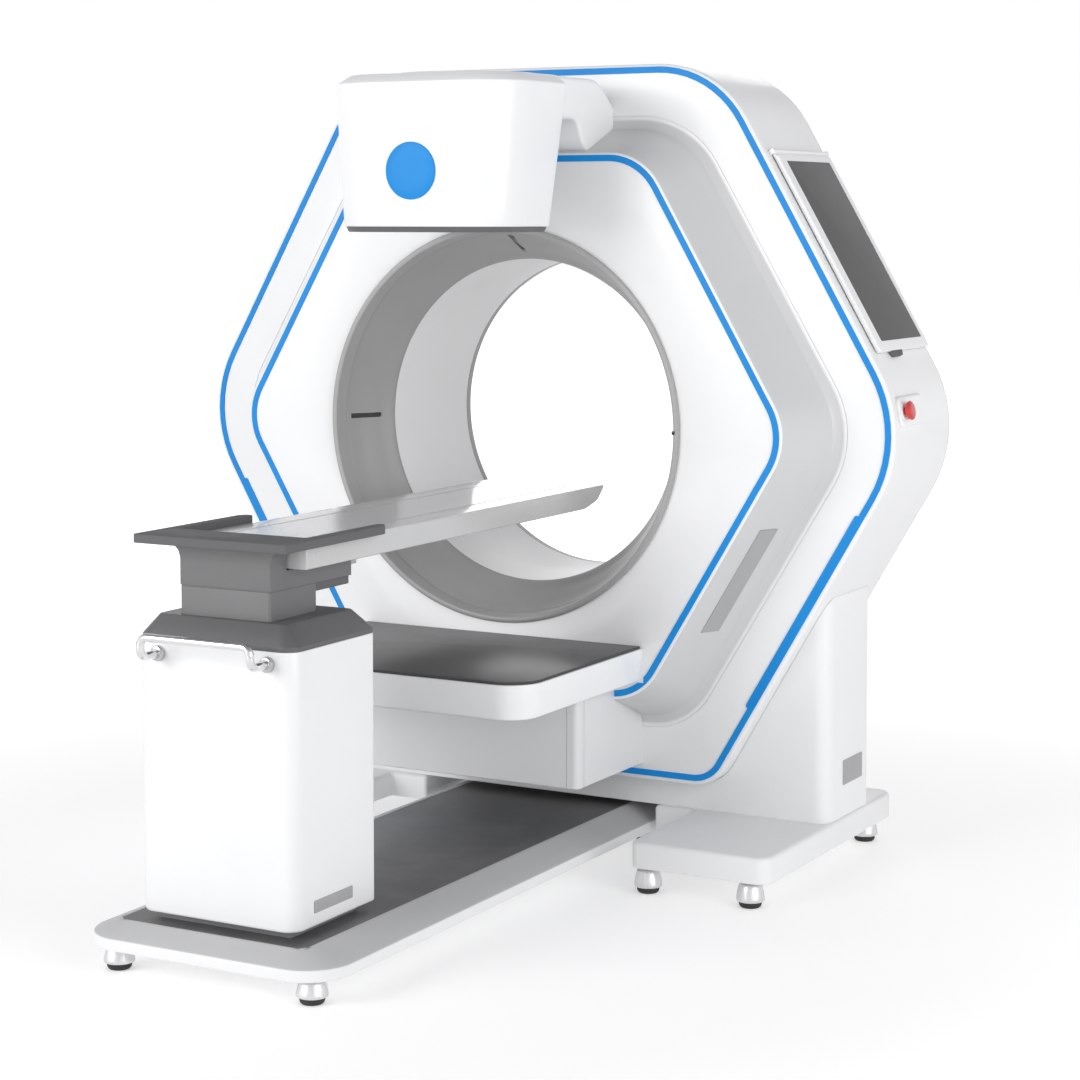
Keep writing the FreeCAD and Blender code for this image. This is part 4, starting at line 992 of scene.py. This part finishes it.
DISC_Z = 1558.0
disc_profile = ((61.0, -1.0), (61.0, 2.6), (60.4, 3.6), (59.0, 4.2), (40.0, 4.8), (20.0, 5.0), (3.0, 5.05))
disc_rows = [[(a, head_front_y(DISC_Z) - proud, DISC_Z + b) for a, b in circle(radius, 72)]
             for radius, proud in disc_profile]
piece("head_blue_disc", skin(disc_rows), BLUE, ["head_disc"])

# ---- detector under the couch
seams = [box_part(x - 0.9, x + 0.9, -316.0, -309.8, 219.0, 437.0) for x in (-262.0, 262.0)]
seams += [box_part(x - 2.0, x + 2.0, -284.9, -283.1, 219.0, 437.0) for x in (-290.0, 290.0)]
box = slab(rectangle(-290, 290, -312, 3), [14, 14, 0.3, 0.3], 220.0, 436.0, 3.0, 0.5, arc=10)
piece("detector_support", box, SHADED_BOX_WHITE, ["detector_support_box"], cuts=seams)
TRAY_FOOT = (rectangle(-350, 350, -664, -143), [66, 66, 1, 1])
TRAY_RIM = (rectangle(-362, 362, -676, -143), [78, 78, 1, 1])
TRAY_BOTTOM = 436.0
tray_low, tray_high = outline(*TRAY_FOOT, 0.0, 14), outline(*TRAY_RIM, 0.0, 14)
tray_rows = [at_height(outline(*TRAY_FOOT, 5.0, 14), TRAY_BOTTOM)]
tray_rows += [at_height(outline(*TRAY_FOOT, 5.0 * (1 - s), 14), TRAY_BOTTOM + 5.0 * (1 - c))
              for s, c in quarter(4)]
tray_rows += [at_height(between(tray_low, tray_high, s), TRAY_BOTTOM + 75.0 * s) for s in (0.3, 0.65, 0.97)]
tray_rows += [at_height(outline(*TRAY_RIM, 1.0, 14), 510.6), at_height(outline(*TRAY_RIM, 3.0, 14), 511.0)]
piece("detector_tray_shell", skin(tray_rows), WHITE, ["detector_tray"])
piece("detector_top", slab(rectangle(-357, 357, -671, -146), [73, 73, 3, 3], 511.0, 516.5, 0.3, 2.2, arc=14),
      TRAY_GLASS, ["detector_top_panel"])

# ---- side screen and stop button
def flank_pad(*sizes):
    return moved(pad(*sizes, along_x, arc=6), on_flank)


HINGE_N, HINGE_S = 7.0, 706.0


def hinge_rod(radius, y0, y1, segments=32):
    ends = ((y0, radius - 0.5), (y0 + 0.5, radius), (y1 - 0.5, radius), (y1, radius - 0.5))
    return skin([[on_flank((HINGE_N + a, y, HINGE_S + b)) for a, b in circle(r, segments)] for y, r in ends])


screen = make_object("screen_case", flank_pad(28.0, 326.0, 204.0, 697.0, 7.0, 3.0, 14.0, 1.5, 2.5), WHITE)
cut_away(screen, flank_pad(59.6, 304.4, 227.6, 679.4, 3.0, 11.0, 17.0, 0.2, 0.2))
neck = make_object("screen_neck", flank_pad(28.5, 325.5, 690.0, 704.0, 1.0, 3.2, 9.6, 0.4, 0.4), WHITE)
barrel = make_object("screen_barrel", hinge_rod(5.5, 28.0, 326.0), WHITE)
finish_piece(merge_objects(screen, neck, barrel), ["screen_body"], body="screen")
piece("screen_display", flank_pad(60.0, 304.0, 228.0, 679.0, 2.6, 11.0, 13.6, 0.3, 0.6), SCREEN_GLASS,
      ["screen_glass"], body="screen")
tab_line = [(96.0, 204.0), (106.0, 191.0), (148.0, 191.0), (158.0, 204.0)]
piece("screen_pull", moved(slab(tab_line, [1, 4, 4, 1], 3.0, 12.0, 1.0, 1.0, along_x, arc=6), on_flank),
      CARRIER_GREY, ["screen_pull_tab"], body="screen")
lugs = [flank_pad(y0, y1, 700.0, 712.0, 1.5, -3.0, 13.0, 0.3, 1.5)
        for y0, y1 in ((21.2, 27.5), (326.5, 333.0))]
piece("screen_hinge_lugs", join(*lugs), WHITE, [])

STOP_Y = 44.0
housing = moved(pad(22.0, 168.0, -34.0, 34.0, 16.0, 268.0, 298.0, 0.3, 7.0, along_x, steps=5), on_corner)
housing_hole = skin([[(n, STOP_Y + a, b) for a, b in circle(8.3, 40)] for n in (240.0, 340.0)])
piece("stop_housing", housing, WHITE, ["stop_button_housing"],
      cuts=(skin([cover_row(COVER, 3.0, y) for y in (-20.0, 400.0)]), moved(housing_hole, on_corner)))


def corner_turned(profile, ends):
    # a profile of (radius, outward) points turned about the stop button's axis
    return moved(skin([[(n, STOP_Y + a, b) for a, b in circle(r, 48)] for r, n in profile], ends), on_corner)


piece("stop_button_cap", corner_turned(
    [(8.0, 283.0), (8.0, 305.8), (17.0, 306.3), (18.6, 307.2), (20.6, 312.0), (21.0, 313.6), (20.2, 315.4),
     (17.0, 317.6), (12.0, 318.6), (6.0, 318.9), (1.0, 319.0)], "cap"), RED, ["stop_button"],
    body="stop")
piece("stop_button_bezel", corner_turned(
    [(20.0, 296.5), (20.0, 299.5), (19.0, 300.5), (9.0, 300.5), (8.2, 299.9), (8.2, 296.5)], "loop"),
    WHITE, [])

# ---- couch base and column
BASE_PLAN = (rectangle(-291, 291, -1302, 225), [95, 95, 20, 20])
RIM_PLAN = (rectangle(-222, 222, -1262, 195), [40, 40, 8, 8])
WELL_PLAN = (rectangle(-216, 216, -1256, 185), [6, 6, 4, 4])
base_rows = [at_height(outline(*BASE_PLAN, inset, 14), level)
             for inset, level in edge_rows(52.0, 76.0, 3.0, 0.3, 4)[:5]]
outer_ring, inner_ring = outline(*BASE_PLAN, 0.0, 14), outline(*RIM_PLAN, 0.0, 14)
base_rows.append(at_height(outer_ring, 73.5))
for share, z in ((0.02, 75.8), (0.06, 77.8), (0.5, 90.2), (0.94, 102.6), (0.98, 103.6), (1.0, 104.0)):
    base_rows.append(at_height(between(outer_ring, inner_ring, share), z))
for inset, z in ((-1.0, 104.0), (0.0, 103.0), (0.0, 99.0)):
    base_rows.append(at_height(outline(*WELL_PLAN, inset, 14), z))
piece("couch_base", skin(base_rows), RIM_WHITE, ["couch_base_plate"], 25.0)
piece("couch_base_mat", slab(rectangle(-215.5, 215.5, -1255.5, 184.5), [6, 6, 4, 4], 99.0, 103.0, 0.3, 0.8),
      INSET_GREY, ["couch_base_inset"])
COLUMN_PLAN = (rectangle(-183, 183, -1236, -952), [34, 34, 14, 14])
COLLAR_TOP_PLAN = (rectangle(-149, 149, -1210, -982), [14, 14, 8, 8])
piece("column_cover", slab(*COLUMN_PLAN, 120.0, 652.0, 5.0, 1.5, arc=12), WHITE,
      ["column_shell"])
collar_low, collar_high = outline(*COLUMN_PLAN, 0.0, 10), outline(*COLLAR_TOP_PLAN, 0.0, 10)
collar_rows = [at_height(outline(*COLUMN_PLAN, 1.0, 10), 652.6)]
collar_rows += [at_height(collar_low, z) for z in (653.6, 660.5)]
for share, z in ((0.03, 662.6), (0.5, 681.0), (0.95, 698.2), (1.0, 699.6)):
    collar_rows.append(at_height(between(collar_low, collar_high, share), z))
collar_rows.append(at_height(outline(*COLLAR_TOP_PLAN, 1.2, 10), 700.0))
piece("column_collar_ring", skin(collar_rows), COLLAR_GREY, ["column_collar"], 22.0,
      cuts=(pad(-106.5, 106.5, -1197.5, -1038.5, 5.0, 640.0, 710.0, 0.3, 0.3),))

HANDLE_X, HANDLE_Z = 127.0, 628.0
handle_line = [(-HANDLE_X, -1246, HANDLE_Z), (-HANDLE_X, -1294, HANDLE_Z), (-HANDLE_X, -1294, 668),
               (HANDLE_X, -1294, 668), (HANDLE_X, -1294, HANDLE_Z), (HANDLE_X, -1246, HANDLE_Z)]
bar = grow(empty_object("handle_tube", handle_line, [(k, k + 1) for k in range(5)]), BENT_BAR, CHROME,
           Bar_Radius=0.008, Bend_Radius=0.017)
finish_piece(merge_objects(bar), ["handle_bar"], 40.0)
boss_profile = [(15.0, -1236.0), (15.0, -1243.0), (14.2, -1245.2), (12.4, -1246.0), (9.2, -1246.0),
                (8.6, -1247.2), (8.1, -1247.2), (8.1, -1240.0)]
boss_parts = [skin([[(x + a, y, HANDLE_Z + b) for a, b in circle(r, 40)] for r, y in boss_profile])
              for x in (-HANDLE_X, HANDLE_X)]
piece("handle_flanges", join(*boss_parts), STEEL, ["handle_bosses"])

# ---- lift and table
PILLAR_TOP = 755.0
piece("lift_column", pad(-105, 105, -1196, -1040, 5, 330.0, PILLAR_TOP, 0.5, 0.5, arc=6), PILLAR_GREY,
      ["lift_pillar"], body="lift")
carriage = make_object("table_carriage", pad(-105, 105, -1195.6, -915, 5, PILLAR_TOP, 791.5, 1.0, 1.0, arc=6),
                       PILLAR_GREY)
cut_away(carriage, box_part(-97.0, 97.0, -1141.0, -910.0, 771.0, 793.0))
wall_line = [(-105.4, 757), (105.4, 757), (105.4, 808), (109, 822), (127, 839), (-127, 839), (-109, 822),
             (-105.4, 808)]
front_wall = make_object("carriage_front_wall", slab(
    wall_line, [1, 1, 12, 12, 1, 1, 12, 12], -1196.4, -1142.0, 2.0, 2.0, along_y, arc=6), PILLAR_GREY)
finish_piece(merge_objects(carriage, front_wall), ["carrier_bracket"], body="lift")
u_corners = [(-177, -1250), (177, -1250), (177, -906), (167, -892), (150, -892), (150, -1140), (-150, -1140),
             (-150, -892), (-167, -892), (-177, -906)]
piece("carriage_top", slab(u_corners, [6, 6, 6, 8, 2, 2, 2, 2, 8, 6], 839.0, 857.0, 2.0, 3.0, arc=6),
      CARRIER_GREY, ["carrier_plate"], body="lift")
piece("table_drive_case", pad(-98, 98, -1039, -915, 4, 737.0, 754.5, 2.5, 0.5, arc=6),
      COLLAR_GREY, ["table_drive_box"], body="lift")

slab_line = [(-1136, 794), (-8, 794), (52, 808), (82, 835), (82, 842), (-1136, 842)]
piece("table_top_panel", slab(slab_line, [1.5, 120, 34, 3, 3, 1.5], -147.0, 147.0, 3.0, 3.0, along_x, arc=10),
      TABLE_SHEET, ["table_slab"], body="table",
      cuts=[box_part(x - 2.6, x + 2.6, -1140.0, 22.0, 839.4, 844.0) for x in (-88.0, 88.0)])

# ---- finishes of the parts kept from the frame
KEPT = {
    STEEL: ("main_bearing_outer", "main_bearing_inner", "drive_pulley", "table_rails", "table_guide_blocks",
            "lift_screw"),
    CASTING: ("rotor_drum", "slip_ring", "ct_tube", "generators", "drive_motor", "lift_gearmotor",
              "radiography_tube"),
    PRIMER: ("gantry_frame", "head_spine", "detector_beam", "column_frame", "lift_guide_block"),
    DETECTOR_BLACK: ("ct_detector_arc", "flat_panel_detector"),
    RUBBER: ("drive_belt",),
}
for finish, names in KEPT.items():
    for name in names:
        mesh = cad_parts[name].data
        mesh.materials.clear()
        mesh.materials.append(finish)
